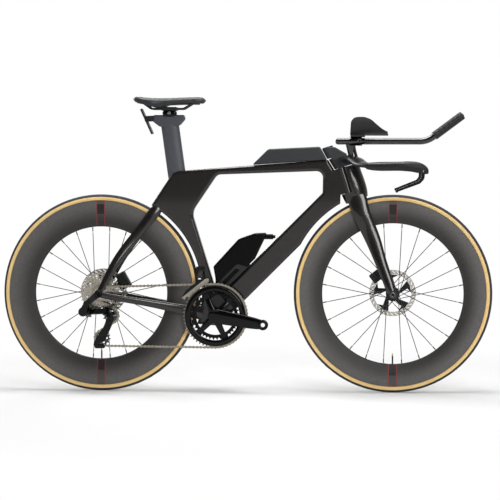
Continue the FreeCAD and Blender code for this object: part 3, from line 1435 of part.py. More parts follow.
# Saddle stations from tail to nose: place, share of the half width, top and lower edge.
SADDLE_STATIONS = [(-387, 0.55, 1016, 1003), (-370, 0.92, 1017, 992.5), (-346, 1.0, 1014.5, 987),
                   (-322, 1.0, 1012, 979),
                   (-290, 0.86, 1011, 979), (-262, 0.66, 1011, 986), (-230, 0.50, 1012, 991.5), (-190, 0.40,
                                                                                                 1013,
                                                                                                 991.5),
                   (-160, 0.33, 1012.5, 991), (-140, 0.18, 1005, 995)]
PAD_DEPTH = 14
SHELL_DEPTH = 12


def saddle_section(x, wide, top, low):
    """Closed curve across the saddle: a crowned top, sides that hang straight down, and a flat lower edge."""
    right = [(0.5 * wide, top - 1.2), (0.86 * wide, top - 6), (wide, low + 0.45 * (top - low)),
             (0.95 * wide, low + 2),
             (0.7 * wide, low)]
    left = [(-across, z) for across, z in reversed(right)]
    curve = Part.BSplineCurve()
    curve.interpolate([at(x, z, across) for across, z in [(0, top)] + right + [(0, low)] + left],
                      PeriodicFlag=True)
    return Part.Wire(curve.toShape())


def saddle_forms():
    """Shell and cover of the saddle: the cover's wings hang past the shell in its hollow underside."""
    half = size("saddle_width") / 2
    skins, hollows, shells = [], [], []
    for x, share, top, low in SADDLE_STATIONS:
        skins.append(saddle_section(x, share * half, top, low))
        inner = max(share * half - 9, 3)
        roof = top - PAD_DEPTH if -380 < x < -150 else low - 2
        hollows.append(Part.makePolygon([at(x, roof, inner), at(x, 940, inner), at(x, 940, -inner),
                                         at(x, roof, -inner),
                                         at(x, roof, inner)]))
        floor = roof - SHELL_DEPTH
        shells.append(Part.makePolygon([at(x, roof, inner - 0.05), at(x, floor, inner - 3),
                                        at(x, floor, 3 - inner),
                                        at(x, roof, 0.05 - inner), at(x, roof, inner - 0.05)]))
    channel = loft([oval(at(x, 1016), Y * wide, Z * deep)
                    for x, wide, deep in ((-392, 9, 5), (-300, 9, 8), (-200, 7, 6), (-150, 4, 3))])
    cover = loft(skins).cut(Part.makeCompound([Part.makeLoft(hollows[1:-1], True, True), channel]))
    shell = Part.makeLoft(shells[1:-1], True, True)
    return shell, largest(cover)


def seat():
    """Seatpost with its head, tilting clamp, rails, saddle shell, soft cover and rear plate."""
    post = seatpost_form(0.0).multiFuse(seatpost_head())
    bolt_room = disc(size("seat_bolt_radius") + size("running_gap"), 60).translated(SEAT_BOLT)
    shaped("seatpost", post.cut(bolt_room))
    shaped("saddle_clamp", saddle_clamp())
    rail_y = size("rail_spacing") / 2
    rails = []
    for side in (RIGHT, LEFT):
        points = [at(-352, 991.5, side * rail_y), at(-325, RAIL_LEVEL, side * rail_y),
                  at(-214, RAIL_LEVEL, side * rail_y), at(-186, 989.5, side * 16)]
        rails.append(bent_wire(points, size("rail_bend"), size("rail_radius")))
    shaped("saddle_rails", Part.makeCompound(rails))
    shell, cover = saddle_forms()
    shaped("saddle_cover", cover)
    shaped("saddle_shell", largest(shell.cut(cover).cut(Part.makeCompound(rails))))
    shaped("rear_mount_plate", rear_plate().cut(made("seatpost")))


def seatpost_head():
    """Broad head of the seatpost, and the two ears that hold the tilt bolt."""
    wide, ear_thick = size("seat_head_width"), 5
    side = [(at(-321, 929), 5), (at(-318, 952), 4), (at(-214, 952), 6), (at(-209, 938), 6),
            (at(-229, 914), 24),
            (at(-297, 910), 24)]
    head = soften(plate(side, wide), 6, upper_edge(wide, 0))
    ear = [(at(-278, 945), 1), (at(-271, 966), 6), (at(-257, 966), 6), (at(-250, 945), 1)]
    return [head] + [plate(ear, ear_thick, hand * (wide - ear_thick) / 2) for hand in (RIGHT, LEFT)]


def saddle_clamp():
    """Yoke that carries both rails and tilts about the bolt between the ears."""
    rail_y = size("rail_spacing") / 2
    eye_radius, eye_half = 6.5, 7.7
    yoke = Part.makeBox(50, 58, 10, at(-289, 967.5, -29))
    eye = disc(eye_radius, 2 * eye_half).translated(SEAT_BOLT)
    neck = Part.makeBox(12, 2 * eye_half, 10, at(-270, 960, -eye_half))
    pads, holes = [], []
    for side in (RIGHT, LEFT):
        pads.append(bar(size("rail_radius") + 3, at(-289, RAIL_LEVEL, side * rail_y),
                        at(-239, RAIL_LEVEL, side * rail_y)))
        holes.append(bar(size("rail_radius") + size("running_gap"), at(-300, RAIL_LEVEL, side * rail_y),
                         at(-230, RAIL_LEVEL, side * rail_y)))
    yoke = yoke.multiFuse([eye, neck] + pads).cut(Part.makeCompound(holes))
    return yoke.fuse(disc(size("seat_bolt_radius"), 30).translated(SEAT_BOLT))


def rear_plate():
    """Flat plate behind the seatpost's head, on a short arm, with two screw holes."""
    top, low = at(-364.5, 971.5), at(-326, 885.5)
    along = (low - top).normalize()
    back = along.cross(Y)
    half, corner = Y * (size("rear_plate_width") / 2), 8
    board = [(top - half, corner), (low - half, corner), (low + half, corner), (top + half, corner)]
    board = Part.Face(rounded_wire(board)).extrude(back * size("rear_plate_thickness"))
    arm = plate([(at(-349, 929), 3), (at(-351, 948), 3), (at(-316, 950), 2), (at(-318, 930), 2)], 20)
    screws = [bar(2.5, top + along * reach - back * 20, top + along * reach + back * 30) for reach in (10,
                                                                                                       74)]
    return board.fuse(arm).cut(Part.makeCompound(screws))


def bent_wire(points, bend, radius):
    """Round wire along straight runs with a tangent arc of one radius at each inner point."""
    edges = []
    here = points[0]
    for before, corner, after in zip(points, points[1:], points[2:]):
        back, ahead = (before - corner).normalize(), (after - corner).normalize()
        half = back.getAngle(ahead) / 2
        reach = bend / math.tan(half)
        middle = (back + ahead).normalize()
        crest = corner + middle * (bend / math.sin(half) - bend)
        edges.append(Part.LineSegment(here, corner + back * reach).toShape())
        edges.append(Part.Arc(corner + back * reach, crest, corner + ahead * reach).toShape())
        here = corner + ahead * reach
    edges.append(Part.LineSegment(here, points[-1]).toShape())
    circle = Part.Circle(points[0], points[1] - points[0], radius).toShape()
    return Part.Wire(edges).makePipeShell([Part.Wire(circle)], True, True)


def bottle():
    """Aero bottle in the corner of the triangle, and its cage on the down tube."""
    lean = math.radians(size("down_tube_angle"))
    down, up = at(math.cos(lean), math.sin(lean)), at(-math.sin(lean), math.cos(lean))
    seat_line = BB + up * (size("down_tube_depth") - size("down_tube_offset"))

    def on_tube(reach, rise):
        return seat_line + down * reach + up * rise

    wide = size("bottle_width")
    form = [(on_tube(42, 3), 10), (at(-106, 390), 12), (at(-113, 432), 10), (at(-26, 527), 30),
            (at(28, 546), 30),
            (at(73, 548), 6), (on_tube(232, 3), 8)]
    frame = made("main_frame")
    body = soften(plate(form, wide), 8, upper_edge(wide, 0)).cut(frame)
    mouth, lip = at(92, 534), at(100, 534)
    nozzle = bar(9, at(52, 534), mouth).fuse(bar(5.5, mouth, lip)).cut(body)
    shaped("bottle", Part.makeCompound([body, largest(nozzle)]))
    sole, thin, side_y = 2.8, 2.4, wide / 2 + 1.5
    pieces = [plate([(on_tube(60, 0), 1), (on_tube(60, sole), 1), (on_tube(205, sole), 1),
                     (on_tube(205, 0), 1)], 36)]
    for hand in (RIGHT, LEFT):
        rim = [(on_tube(70, 1), 4), (on_tube(84, 34), 12), (on_tube(176, 34), 12), (on_tube(196, 1), 4)]
        hole = [(on_tube(92, 12), 4), (on_tube(98, 26), 5), (on_tube(162, 26), 5), (on_tube(172, 12), 4)]
        pieces.append(plate(rim, thin, hand * side_y).cut(plate(hole, 4 * thin, hand * side_y)))
        ledge = [(on_tube(80, 0.8), 0.5), (on_tube(80, sole), 0.5), (on_tube(190, sole), 0.5),
                 (on_tube(190, 0.8), 0.5)]
        pieces.append(plate(ledge, 8, hand * 20.5))
    cage = pieces[0].multiFuse(pieces[1:]).cut(frame).cut(body)
    shaped("bottle_cage", largest(cage))


# Derailleurs

CAGE_MOVE = Vector(0, 0.894, -0.447).normalize()
LINK_WAY = (Vector(0.99, 0, -0.13) - CAGE_MOVE * Vector(0.99, 0, -0.13).dot(CAGE_MOVE)).normalize()
LINK_AXIS = LINK_WAY.cross(CAGE_MOVE)
SHIFT_TRAVEL = (len(COG_TEETH) - 1) * size("cog_spacing") / CAGE_MOVE.y
LINK_SWING = math.asin(SHIFT_TRAVEL / 2 / size("rear_link_length"))
LINK_REST = (LINK_WAY * math.cos(LINK_SWING) - CAGE_MOVE * math.sin(LINK_SWING)) * size("rear_link_length")
OUTER_PIVOT = Vector(REAR.x - 27.5, -82, REAR.z - 60.5)
PIVOT_GAP = 12
INNER_PIVOT = OUTER_PIVOT + CAGE_MOVE * PIVOT_GAP
LINK_HALF = 9.0
EAR_GAP = 0.4
EAR = 4.0
LINK_PIN = 2.0
LINK_EYE = 4.0
HANGER_SIDE = -(size("rear_hub_length") / 2 + size("dropout_thickness"))
RD_MOUNT = at(REAR.x - 38.5, REAR.z - 31.5)
RD_SCREW = 5
CAGE_FACE = COG_Y - size("cage_gap") - size("cage_thickness")
CAGE_PIN = 5


def link_block(origin, way, low, high):
    """Box in the rear linkage's frame: along the link, across it and along its pins, about a pivot."""
    side = LINK_AXIS.cross(way)
    span = high - low
    block = Part.makeBox(span.x, span.y, span.z, low)
    block.Placement = Placement(origin, Rotation(way, side, LINK_AXIS, "XYZ"))
    return block


def link_pins(pivots, radius, half):
    return [bar(radius, pivot - LINK_AXIS * half, pivot + LINK_AXIS * half) for pivot in pivots]


def rear_link(label, start, thick, half):
    """Link with an eye and a pin at each end."""
    stop = start + LINK_REST
    way = Vector(LINK_REST).normalize()
    length = size("rear_link_length")
    slab = link_block(start, way, Vector(0, -thick / 2, -half), Vector(length, thick / 2, half))

    def long_edge(edge):
        return edge.Length > length / 2 and abs(edge.tangentAt(edge.FirstParameter).dot(LINK_AXIS)) < 0.1

    slab = soften(slab, thick / 2 - 0.1, long_edge)
    eyes = link_pins([start, stop], LINK_EYE, LINK_HALF)
    pins = link_pins([start, stop], LINK_PIN, LINK_HALF + EAR_GAP + EAR)
    return shaped(label, slab.multiFuse(eyes + pins))


def hanger():
    """Flat hanger from the right dropout down to the derailleur's mounting screw."""
    thick = size("hanger_thickness")
    middle = HANGER_SIDE - thick / 2
    along = (RD_MOUNT - REAR).normalize()
    across = along.cross(Y)
    hook = disc(12, thick, middle).translated(REAR).fuse(disc(9.5, thick, middle).translated(RD_MOUNT))
    neck = [(REAR + across * 11, 0.5), (RD_MOUNT + across * 9, 0.5), (RD_MOUNT - across * 9, 0.5),
            (REAR - across * 11, 0.5)]
    hook = hook.fuse(plate(neck, thick, middle))
    holes = [disc(size("thru_axle_radius") + size("running_gap"), 300).translated(REAR),
             disc(RD_SCREW, 300).translated(RD_MOUNT)]
    return shaped("derailleur_hanger", hook.cut(Part.makeCompound(holes)).removeSplitter())


def derailleur_base():
    """Body on the hanger: mounting boss and screw, round motor housing, and ears for the two links."""
    reach = LINK_HALF + EAR_GAP + EAR
    centre = OUTER_PIVOT - LINK_WAY * 23 + CAGE_MOVE * 5
    flat_centre = at(centre.x, centre.z)
    round_radius, boss_length = 16, 14
    housing = bar(round_radius, flat_centre - Y * 100, flat_centre - Y * 66)
    housing = soften(housing, 3, lambda edge: edge.Closed and abs(edge.Curve.Radius - round_radius) < 1e-6)
    inner_face = HANGER_SIDE - size("hanger_thickness")
    boss = bar(10, RD_MOUNT + Y * (inner_face - boss_length), RD_MOUNT + Y * inner_face)
    screw = bar(RD_SCREW, RD_MOUNT + Y * (inner_face - boss_length), RD_MOUNT + Y * HANGER_SIDE)
    across = (centre - RD_MOUNT).normalize().cross(Y).normalize()
    strut = [(RD_MOUNT + across * 9, 0.5), (flat_centre + across * 12, 0.5),
             (flat_centre - across * 12, 0.5),
             (RD_MOUNT - across * 9, 0.5)]
    strut = plate(strut, 13.6, inner_face - boss_length / 2 - 0.2)
    ears = [link_block(OUTER_PIVOT, LINK_WAY, Vector(-16, -5, low), Vector(4.5, PIVOT_GAP + 5, low + EAR))
            for low in (LINK_HALF + EAR_GAP, -reach)]
    back = link_block(OUTER_PIVOT, LINK_WAY, Vector(-16, -5, -reach), Vector(-5.5, PIVOT_GAP + 5, reach))
    base = housing.multiFuse([boss, screw, strut, back] + ears)
    pin_room = link_pins([OUTER_PIVOT, INNER_PIVOT], LINK_PIN + size("running_gap"), 40)
    base = base.cut(Part.makeCompound(pin_room)).cut(made("derailleur_hanger"))
    return shaped("rear_derailleur_base", base)


def knuckle():
    """Knuckle at the links' far ends, with the barrel that the cage turns in."""
    reach = LINK_HALF + EAR_GAP + EAR
    far = OUTER_PIVOT + LINK_REST
    ears = [link_block(far, LINK_WAY, Vector(-4.5, -5, low), Vector(12, PIVOT_GAP + 5, low + EAR))
            for low in (LINK_HALF + EAR_GAP, -reach)]
    front = link_block(far, LINK_WAY, Vector(5.5, -5, -reach), Vector(12, PIVOT_GAP + 12, reach))
    barrel = bar(12.5, GUIDE + Y * (CAGE_FACE - 20.4), GUIDE + Y * (CAGE_FACE - EAR_GAP))
    pin_room = link_pins([far, far + CAGE_MOVE * PIVOT_GAP], LINK_PIN + size("running_gap"), 40)
    pivot_room = bar(CAGE_PIN + size("running_gap"), GUIDE + Y * (CAGE_FACE - 12), GUIDE + Y * CAGE_FACE)
    body = barrel.multiFuse([front] + ears).cut(Part.makeCompound(pin_room + [pivot_room]))
    return shaped("rear_derailleur_knuckle", largest(body))


def pulley_cage():
    """Two cage plates joined by the pulleys' bolts, and the pin that turns in the knuckle."""
    way = (TENSION - GUIDE).normalize()
    across = way.cross(Y)
    thick = size("cage_thickness")
    form = [(GUIDE - way * 13 + across * 12, 11), (GUIDE + way * 30 + across * 15, 30),
            (TENSION + way * 13 + across * 11, 10), (TENSION + way * 13 - across * 11, 10),
            (GUIDE + way * 40 - across * 7, 40), (GUIDE - way * 13 - across * 12, 11)]
    window = [(GUIDE + way * 26 + across * 6, 3), (GUIDE + way * 52 + across * 6, 3),
              (GUIDE + way * 54 - across * 3, 3), (GUIDE + way * 26 - across * 3, 3)]
    pieces = [plate(form, thick, start + thick / 2).cut(plate(window, 5 * thick, start))
              for start in (CAGE_FACE, COG_Y + size("cage_gap"))]
    width = 2 * (size("cage_gap") + thick)
    for centre in (GUIDE, TENSION):
        pieces.append(bar(PULLEY_BOLT, centre + Y * CAGE_FACE, centre + Y * (CAGE_FACE + width)))
    pieces.append(bar(CAGE_PIN, GUIDE + Y * (CAGE_FACE - 10), GUIDE + Y * CAGE_FACE))
    return shaped("rear_derailleur_cage", pieces[0].multiFuse(pieces[1:]))


def rear_derailleur():
    """Hanger, base with its round housing, two parallel links, knuckle and the pulley cage."""
    hanger()
    derailleur_base()
    rear_link("rear_derailleur_outer_link", OUTER_PIVOT, 6.4, LINK_HALF)
    rear_link("rear_derailleur_inner_link", INNER_PIVOT, 4.4, LINK_HALF - 3)
    knuckle()
    pulley_cage()


FRONT_PIVOT = BB + Vector(-51, -36, 150.5)
FRONT_LEAN = math.radians(35.8)
FRONT_END = FRONT_PIVOT + Vector(0, -math.sin(FRONT_LEAN),
                                 -math.cos(FRONT_LEAN)) * size("front_link_length")
FRONT_HALF = 7.7


def sector(low, high, first, last, start, thick):
    """Part of a flat ring about the bottom bracket, between two radii and two angles in degrees."""
    first, last = math.radians(first), math.radians(last)
    middle = (first + last) / 2
    corners = [on_wheel(radius, angle, start) for radius,
               angle in ((low, first), (low, middle), (low, last),
                                                                    (high, last), (high, middle), (high,
                                                                                                   first))]
    edges = [Part.Arc(*corners[:3]).toShape(), Part.LineSegment(corners[2], corners[3]).toShape(),
             Part.Arc(*corners[3:]).toShape(), Part.LineSegment(corners[5], corners[0]).toShape()]
    return Part.Face(Part.Wire(edges)).extrude(Y * thick).translated(BB)


def front_derailleur():
    """Body clamped to the seat tube, swinging link and the two-plate cage over the big ring."""
    ear = 5.0
    spans = ((-FRONT_HALF - EAR_GAP - ear, ear), (FRONT_HALF + EAR_GAP, ear))
    half = FRONT_HALF + EAR_GAP + ear
    long, tall, corner = 2 * half + 3, 40, at(FRONT_PIVOT.x - half - 3, BB.z + 127.5)
    block = soften(Part.makeBox(long, 11, tall, corner - Y * 31), 3, lambda edge: True)
    foot = Part.makeBox(long, 5, tall, corner - Y * 25)
    ears = [bar(4.5, FRONT_PIVOT + X * start, FRONT_PIVOT + X * (start + long)).fuse(
        Part.makeBox(long, 6, 9, FRONT_PIVOT + Vector(start, 0, -4.5))) for start, long in spans]
    hole = bar(LINK_PIN + size("running_gap"), FRONT_PIVOT - X * 40, FRONT_PIVOT + X * 40)
    shaped("front_derailleur_body", block.multiFuse([foot] + ears).cut(hole).cut(made("main_frame")))
    way = FRONT_END - FRONT_PIVOT
    slab = Part.makeBox(2 * FRONT_HALF, 5, way.Length, Vector(-FRONT_HALF, -2.5, 0))
    slab.Placement = Placement(FRONT_PIVOT, Rotation(Z, way))
    eyes = [bar(3.4, place - X * FRONT_HALF, place + X * FRONT_HALF) for place in (FRONT_PIVOT, FRONT_END)]
    pins = [bar(LINK_PIN, place - X * half, place + X * half) for place in (FRONT_PIVOT, FRONT_END)]
    shaped("front_derailleur_link", slab.multiFuse(eyes + pins))
    tip = pitch_radius(size("ring_teeth")) + size("tooth_height")
    low, high, thin = RING_Y - 7, RING_Y + 5.4, 1.4
    outer = sector(tip + 6, tip + 19, 100, 152, low, thin)
    inner = sector(tip - 4, tip + 19, 100, 146, high, thin)
    bridge = sector(tip + 14, tip + 19, 100, 116, low, high + thin - low)
    tail = sector(tip + 6, tip + 10, 143, 146, low, high + thin - low)
    stand = Part.makeBox(2 * half, 9, 16, Vector(FRONT_END.x - half, FRONT_END.y - 4.5, FRONT_END.z - 15))
    clear = FRONT_HALF + EAR_GAP
    room = Part.makeBox(2 * clear, 30, 30, FRONT_END - Vector(clear, 15, 8))
    tops = [bar(4.5, FRONT_END + X * start, FRONT_END + X * (start + long)) for start, long in spans]
    pin_hole = bar(LINK_PIN + size("running_gap"), FRONT_END - X * 40, FRONT_END + X * 40)
    cage = outer.multiFuse([inner, bridge, tail, stand.cut(room)] + tops).cut(pin_hole)
    shaped("front_derailleur_cage", cage)


def check_and_write():
    """Stops if anything failed, then writes one file for each sub-part."""
    doc.recompute()
    for item in doc.Objects:
        if {"Invalid", "Error"} & set(item.State):
            raise RuntimeError(f"{item.Label} failed: {item.State}")
    for part in subparts:
        if part.Shape.isNull() or not part.Shape.isValid():
            raise RuntimeError(f"{part.Label} has no valid shape")
    os.makedirs("parts", exist_ok=True)
    for part in subparts:
        part.Shape.exportStep(f"parts/{part.Label}.step")
    print(len(subparts), "sub-parts")


wheels()
chain()
cassette()
chainrings()
cranks()
pulley("guide_pulley", GUIDE, 6)
pulley("tension_pulley", TENSION, 4)
main_frame()
rear_end()
frame_bearings()
fork()
base_bar()
brake_levers()
extensions()
riser()
arm_rests()
boxes()
calipers()
seat()
bottle()
rear_derailleur()
front_derailleur()
check_and_write()
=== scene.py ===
# %% [markdown]
# # A time trial bike, dressed for the studio
# The engineering model of the bike arrives as a frame of rigid bodies: wheels, steering, cranks, saddle.
# This lesson leaves every one of those solids where it is and gives it a finish. It also models the soft
# pieces, which a solid modeller only blocks out, and some trim that rides on the solids. All lengths are
# metres, X is forward, Y is the rider's left, Z is up.

# %% Load the bodies of the bike
import math
import bpy
import numpy as np
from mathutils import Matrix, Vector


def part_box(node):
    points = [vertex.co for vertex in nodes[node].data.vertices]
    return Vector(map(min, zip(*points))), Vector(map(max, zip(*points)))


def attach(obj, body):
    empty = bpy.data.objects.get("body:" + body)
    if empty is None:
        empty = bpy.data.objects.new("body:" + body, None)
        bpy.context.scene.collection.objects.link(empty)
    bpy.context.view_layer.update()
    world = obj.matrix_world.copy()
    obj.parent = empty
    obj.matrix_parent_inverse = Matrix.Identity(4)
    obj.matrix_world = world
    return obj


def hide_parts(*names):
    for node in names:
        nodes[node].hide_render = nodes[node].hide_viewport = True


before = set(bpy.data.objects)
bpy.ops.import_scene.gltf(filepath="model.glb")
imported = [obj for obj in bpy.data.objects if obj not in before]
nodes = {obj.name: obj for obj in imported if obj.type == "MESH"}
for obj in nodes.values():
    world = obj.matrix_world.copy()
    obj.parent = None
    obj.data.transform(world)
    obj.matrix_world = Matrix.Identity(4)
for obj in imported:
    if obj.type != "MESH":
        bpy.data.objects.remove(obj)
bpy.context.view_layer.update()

# %% [markdown]
# ## The camera
# The photograph was taken from the drive side, a little above the hubs and with the front wheel slightly
# nearer. A long lens far away keeps the two wheels almost the same size, so the camera stands more than six
# metres off and is aimed at the middle of the bike.

# %% Camera
AIM = np.array([0.0125, 0.0, 0.488])
STAND = np.array([0.45, -6.6, 0.80])
FOCAL_LENGTH, SENSOR_WIDTH = 138.6, 36


def look(place, aim):
    """Tilt and turn of a camera at a place that faces a point: the angle up from straight down, and the turn
    about Z."""
    way = np.asarray(aim) - np.asarray(place)
    return math.atan2(math.hypot(way[0], way[1]), -way[2]), math.atan2(-way[0], way[1])


lens = bpy.data.cameras.new("studio_camera")
lens.lens = FOCAL_LENGTH
lens.sensor_width = SENSOR_WIDTH
camera = bpy.data.objects.new("studio_camera", lens)
camera.location = STAND
tilt, turn = look(STAND, AIM)
camera.rotation_euler = (tilt, 0, turn)
bpy.context.scene.collection.objects.link(camera)
bpy.context.scene.camera = camera
bpy.context.scene.view_settings.view_transform = "Standard"
print("camera at", [round(v, 3) for v in camera.location])

# %% [markdown]
# ## Lamps and sky
# A studio lights a dark bike with wide softboxes, whose edges draw long highlights on its tubes: one hangs
# overhead, one stands on the drive side and a weaker one on the far side. Area lamps do the same here. The
# sky is white for the camera. Mirrored in the lacquer it is dim on the drive side and bright on the far side,
# and for everything else it is a weak fill, so a colour renders about as it is written.

# %% Softboxes
LAMP_AIM = np.array([0, 0, 0.5])
LAMPS = {
    "overhead_box": ((0.1, -0.05, 3.2), (2.2, 0.9), 112),
    "drive_side_box": ((1.6, -4.2, 2.2), (2.4, 1.2), 98),
    "far_side_box": ((-1.4, 3.6, 2.2), (2.2, 1.6), 50),
}


def soft_lamp(name, place, size, power):
    """A rectangular softbox that faces the bike: tilted by the angle between the vertical and the line from
    the bike to the lamp, then turned about Z towards that line."""
    lamp = bpy.data.lights.new(name, "AREA")
    lamp.shape = "RECTANGLE"
    lamp.size, lamp.size_y = size
    lamp.energy = power
    holder = bpy.data.objects.new(name, lamp)
    holder.location = place
    away = np.array(place, float) - LAMP_AIM
    tilt = math.atan2(math.hypot(away[0], away[1]), away[2])
    holder.rotation_euler = (0, tilt, math.atan2(away[1], away[0]))
    bpy.context.scene.collection.objects.link(holder)


for name, (place, size, power) in LAMPS.items():
    soft_lamp(name, place, size, power)
print(len(LAMPS), "softboxes")

# %% Sky
SKY_FILL = 0.4
DRIVE_SIDE, FAR_SIDE = -0.7, 0.5
DRIVE_SIDE_MIRROR, FAR_SIDE_MIRROR = 0.05, 1.0
sky = bpy.data.worlds.new("studio_sky")
bpy.context.scene.world = sky
sky.use_nodes = True
sky_tree = sky.node_tree
sky_tree.nodes.clear()


def sky_node(kind, *inputs, **settings):
    """A node of the sky: its inputs in order, each linked or set, and its own settings."""
    node = sky_tree.nodes.new(kind)
    for name, value in settings.items():
        setattr(node, name, value)
    for socket, value in zip(node.inputs, inputs):
        if isinstance(value, bpy.types.NodeSocket):
            sky_tree.links.new(value, socket)
        else:
            socket.default_value = value
    return node.outputs


path = sky_node("ShaderNodeLightPath")
shiny = sky_node("ShaderNodeMath", path["Is Glossy Ray"], path["Is Transmission Ray"], operation="MAXIMUM")[0]
heading = sky_node("ShaderNodeSeparateXYZ", sky_node("ShaderNodeTexCoord")["Generated"])["Y"]
mirrored = sky_node("ShaderNodeMapRange", heading, DRIVE_SIDE, FAR_SIDE, DRIVE_SIDE_MIRROR, FAR_SIDE_MIRROR)
unseen = sky_node("ShaderNodeMix", shiny, (0, 0, 0), SKY_FILL, mirrored["Result"])["Result"]
strength = sky_node("ShaderNodeMath", path["Is Camera Ray"], unseen, operation="MAXIMUM")[0]
glow = sky_node("ShaderNodeBackground", (1, 1, 1, 1), strength)
sky_node("ShaderNodeOutputWorld", glow[0])
print("a white sky")

# %% [markdown]
# ## Finishes
# Each finish is a small graph on Object coordinates, so a pattern keeps its real size on every piece and
# turns with it. A few helpers build the usual steps: coordinates, noise, a distance from a wheel's axle, a
# blend of two colours. A class holds them, because each one adds nodes to the same material.

# %% Helpers for finishes
class Finish:
    """A material with one Principled shader, and short calls for the nodes that feed it."""

    def __init__(self, name, **sockets):
        self.material = bpy.data.materials.new(name)
        self.material.use_nodes = True
        self.tree = self.material.node_tree
        self.shader = self.tree.nodes["Principled BSDF"]
        for socket, value in sockets.items():
            self.shader.inputs[socket.replace("_", " ")].default_value = value
        self.place = self.tree.nodes.new("ShaderNodeTexCoord").outputs["Object"]

    def feed(self, node, socket, value):
        """Links a socket, or sets a constant on it."""
        if isinstance(value, bpy.types.NodeSocket):
            self.tree.links.new(value, node.inputs[socket])
        else:
            node.inputs[socket].default_value = value

    def to(self, socket, value):
        """Links a value to one of the shader's own sockets."""
        self.tree.links.new(value, self.shader.inputs[socket])

    def noise(self, scale, detail=4, roughness=0.55, stretch=None):
        """Cloudy values from 0 to 1; scale is about the blobs per metre, stretch squeezes each axis."""
        vector = self.place
        if stretch is not None:
            mapping = self.tree.nodes.new("ShaderNodeMapping")
            mapping.inputs["Scale"].default_value = stretch
            self.tree.links.new(vector, mapping.inputs["Vector"])
            vector = mapping.outputs["Vector"]
        node = self.tree.nodes.new("ShaderNodeTexNoise")
        self.tree.links.new(vector, node.inputs["Vector"])
        node.inputs["Scale"].default_value = scale
        node.inputs["Detail"].default_value = detail
        node.inputs["Roughness"].default_value = roughness
        return node.outputs["Fac"]

    def cells(self, scale):
        """Distance to the middle of the nearest of many scattered cells."""
        node = self.tree.nodes.new("ShaderNodeTexVoronoi")
        self.tree.links.new(self.place, node.inputs["Vector"])
        node.inputs["Scale"].default_value = scale
        return node.outputs["Distance"]

    def math(self, kind, first, second=0.0):
        """One sum, product or other operation on two numbers."""
        node = self.tree.nodes.new("ShaderNodeMath")
        node.operation = kind
        self.feed(node, 0, first)
        self.feed(node, 1, second)
        return node.outputs[0]

    def vector(self, kind, first, second):
        """One operation on two vectors; a length or a dot product gives a number."""
        node = self.tree.nodes.new("ShaderNodeVectorMath")
        node.operation = kind
        self.feed(node, 0, first)
        self.feed(node, 1, second)
        return node.outputs["Value" if kind in ("LENGTH", "DOT_PRODUCT") else "Vector"]

    def from_axle(self, axle):
        """Distance from a wheel's axle line, which runs along Y: the length of the place less the axle, with
        its Y set to 0."""
        spoke = self.vector("SUBTRACT", self.place, (axle[0], 0, axle[2]))
        return self.vector("LENGTH", self.vector("MULTIPLY", spoke, (1, 0, 1)), (0, 0, 0))

    def along(self, way):
        """Distance along a direction: the dot product of the place with it."""
        return self.vector("DOT_PRODUCT", self.place, way)

    def off(self, value, level):
        """How far a value is from a level, above or below."""
        return self.math("ABSOLUTE", self.math("SUBTRACT", value, level))

    def step(self, value, low, high):
        """0 below low, 1 above high, and a smooth rise between."""
        node = self.tree.nodes.new("ShaderNodeMapRange")
        node.interpolation_type = "SMOOTHSTEP"
        self.feed(node, "Value", value)
        node.inputs["From Min"].default_value = low
        node.inputs["From Max"].default_value = high
        return node.outputs["Result"]

    def below(self, value, low, high):
        """1 below low, 0 above high: one less the step."""
        return self.math("SUBTRACT", 1.0, self.step(value, low, high))

    def spread(self, value, low, high):
        """Stretches 0..1 to low..high."""
        node = self.tree.nodes.new("ShaderNodeMapRange")
        self.feed(node, "Value", value)
        node.inputs["To Min"].default_value = low
        node.inputs["To Max"].default_value = high
        return node.outputs["Result"]

    def blend(self, share, first, second):
        """Colour between two colours."""
        node = self.tree.nodes.new("ShaderNodeMix")
        node.data_type = "RGBA"
        self.feed(node, "Factor", share)
        for socket, value in (("A", first), ("B", second)):
            target = next(item for item in node.inputs if item.name == socket and item.type == "RGBA")
            if isinstance(value, bpy.types.NodeSocket):
                self.tree.links.new(value, target)
            else:
                target.default_value = (*value, 1)
        return next(item for item in node.outputs if item.type == "RGBA")

    def blend_value(self, share, first, second):
        """Number between two numbers."""
        node = self.tree.nodes.new("ShaderNodeMix")
        self.feed(node, 0, share)
        self.feed(node, 2, first)
        self.feed(node, 3, second)
        return node.outputs[0]

    def relief(self, height, depth, strength=0.5):
        """Small bumps, whose height in metres is the depth. Gives the finished material."""
        node = self.tree.nodes.new("ShaderNodeBump")
        node.inputs["Strength"].default_value = strength
        node.inputs["Distance"].default_value = depth
        self.tree.links.new(height, node.inputs["Height"])
        self.tree.links.new(node.outputs["Normal"], self.shader.inputs["Normal"])
        return self.material


print("finish helpers ready")

# %% Colours and axles
REAR_AXLE = (-0.5025, 0, 0.3395)
FRONT_AXLE = (0.5025, 0, 0.3395)
CRANK_AXLE = (-0.104, 0, 0.2645)


def shade(value):
    """Linear value of an 8-bit screen value: a straight line near black, and a power of 2.4 above it."""
    value /= 255
    return value / 12.92 if value <= 0.04045 else ((value + 0.055) / 1.055) ** 2.4


def rgb(red, green, blue):
    """Linear colour of three 8-bit screen values."""
    return shade(red), shade(green), shade(blue)


print("middle grey is", round(shade(128), 3))

# %% [markdown]
# ### Lacquered carbon
# The frame and fork are moulded carbon under a warm near-black lacquer. Carbon shows as a faint grain of
# fibres, and the lacquer adds a thin clear coat. A slow noise keeps the broad flat sides from looking like
# one flat colour. The cranks get little gloss, because a white floor mirrored in black makes it grey.

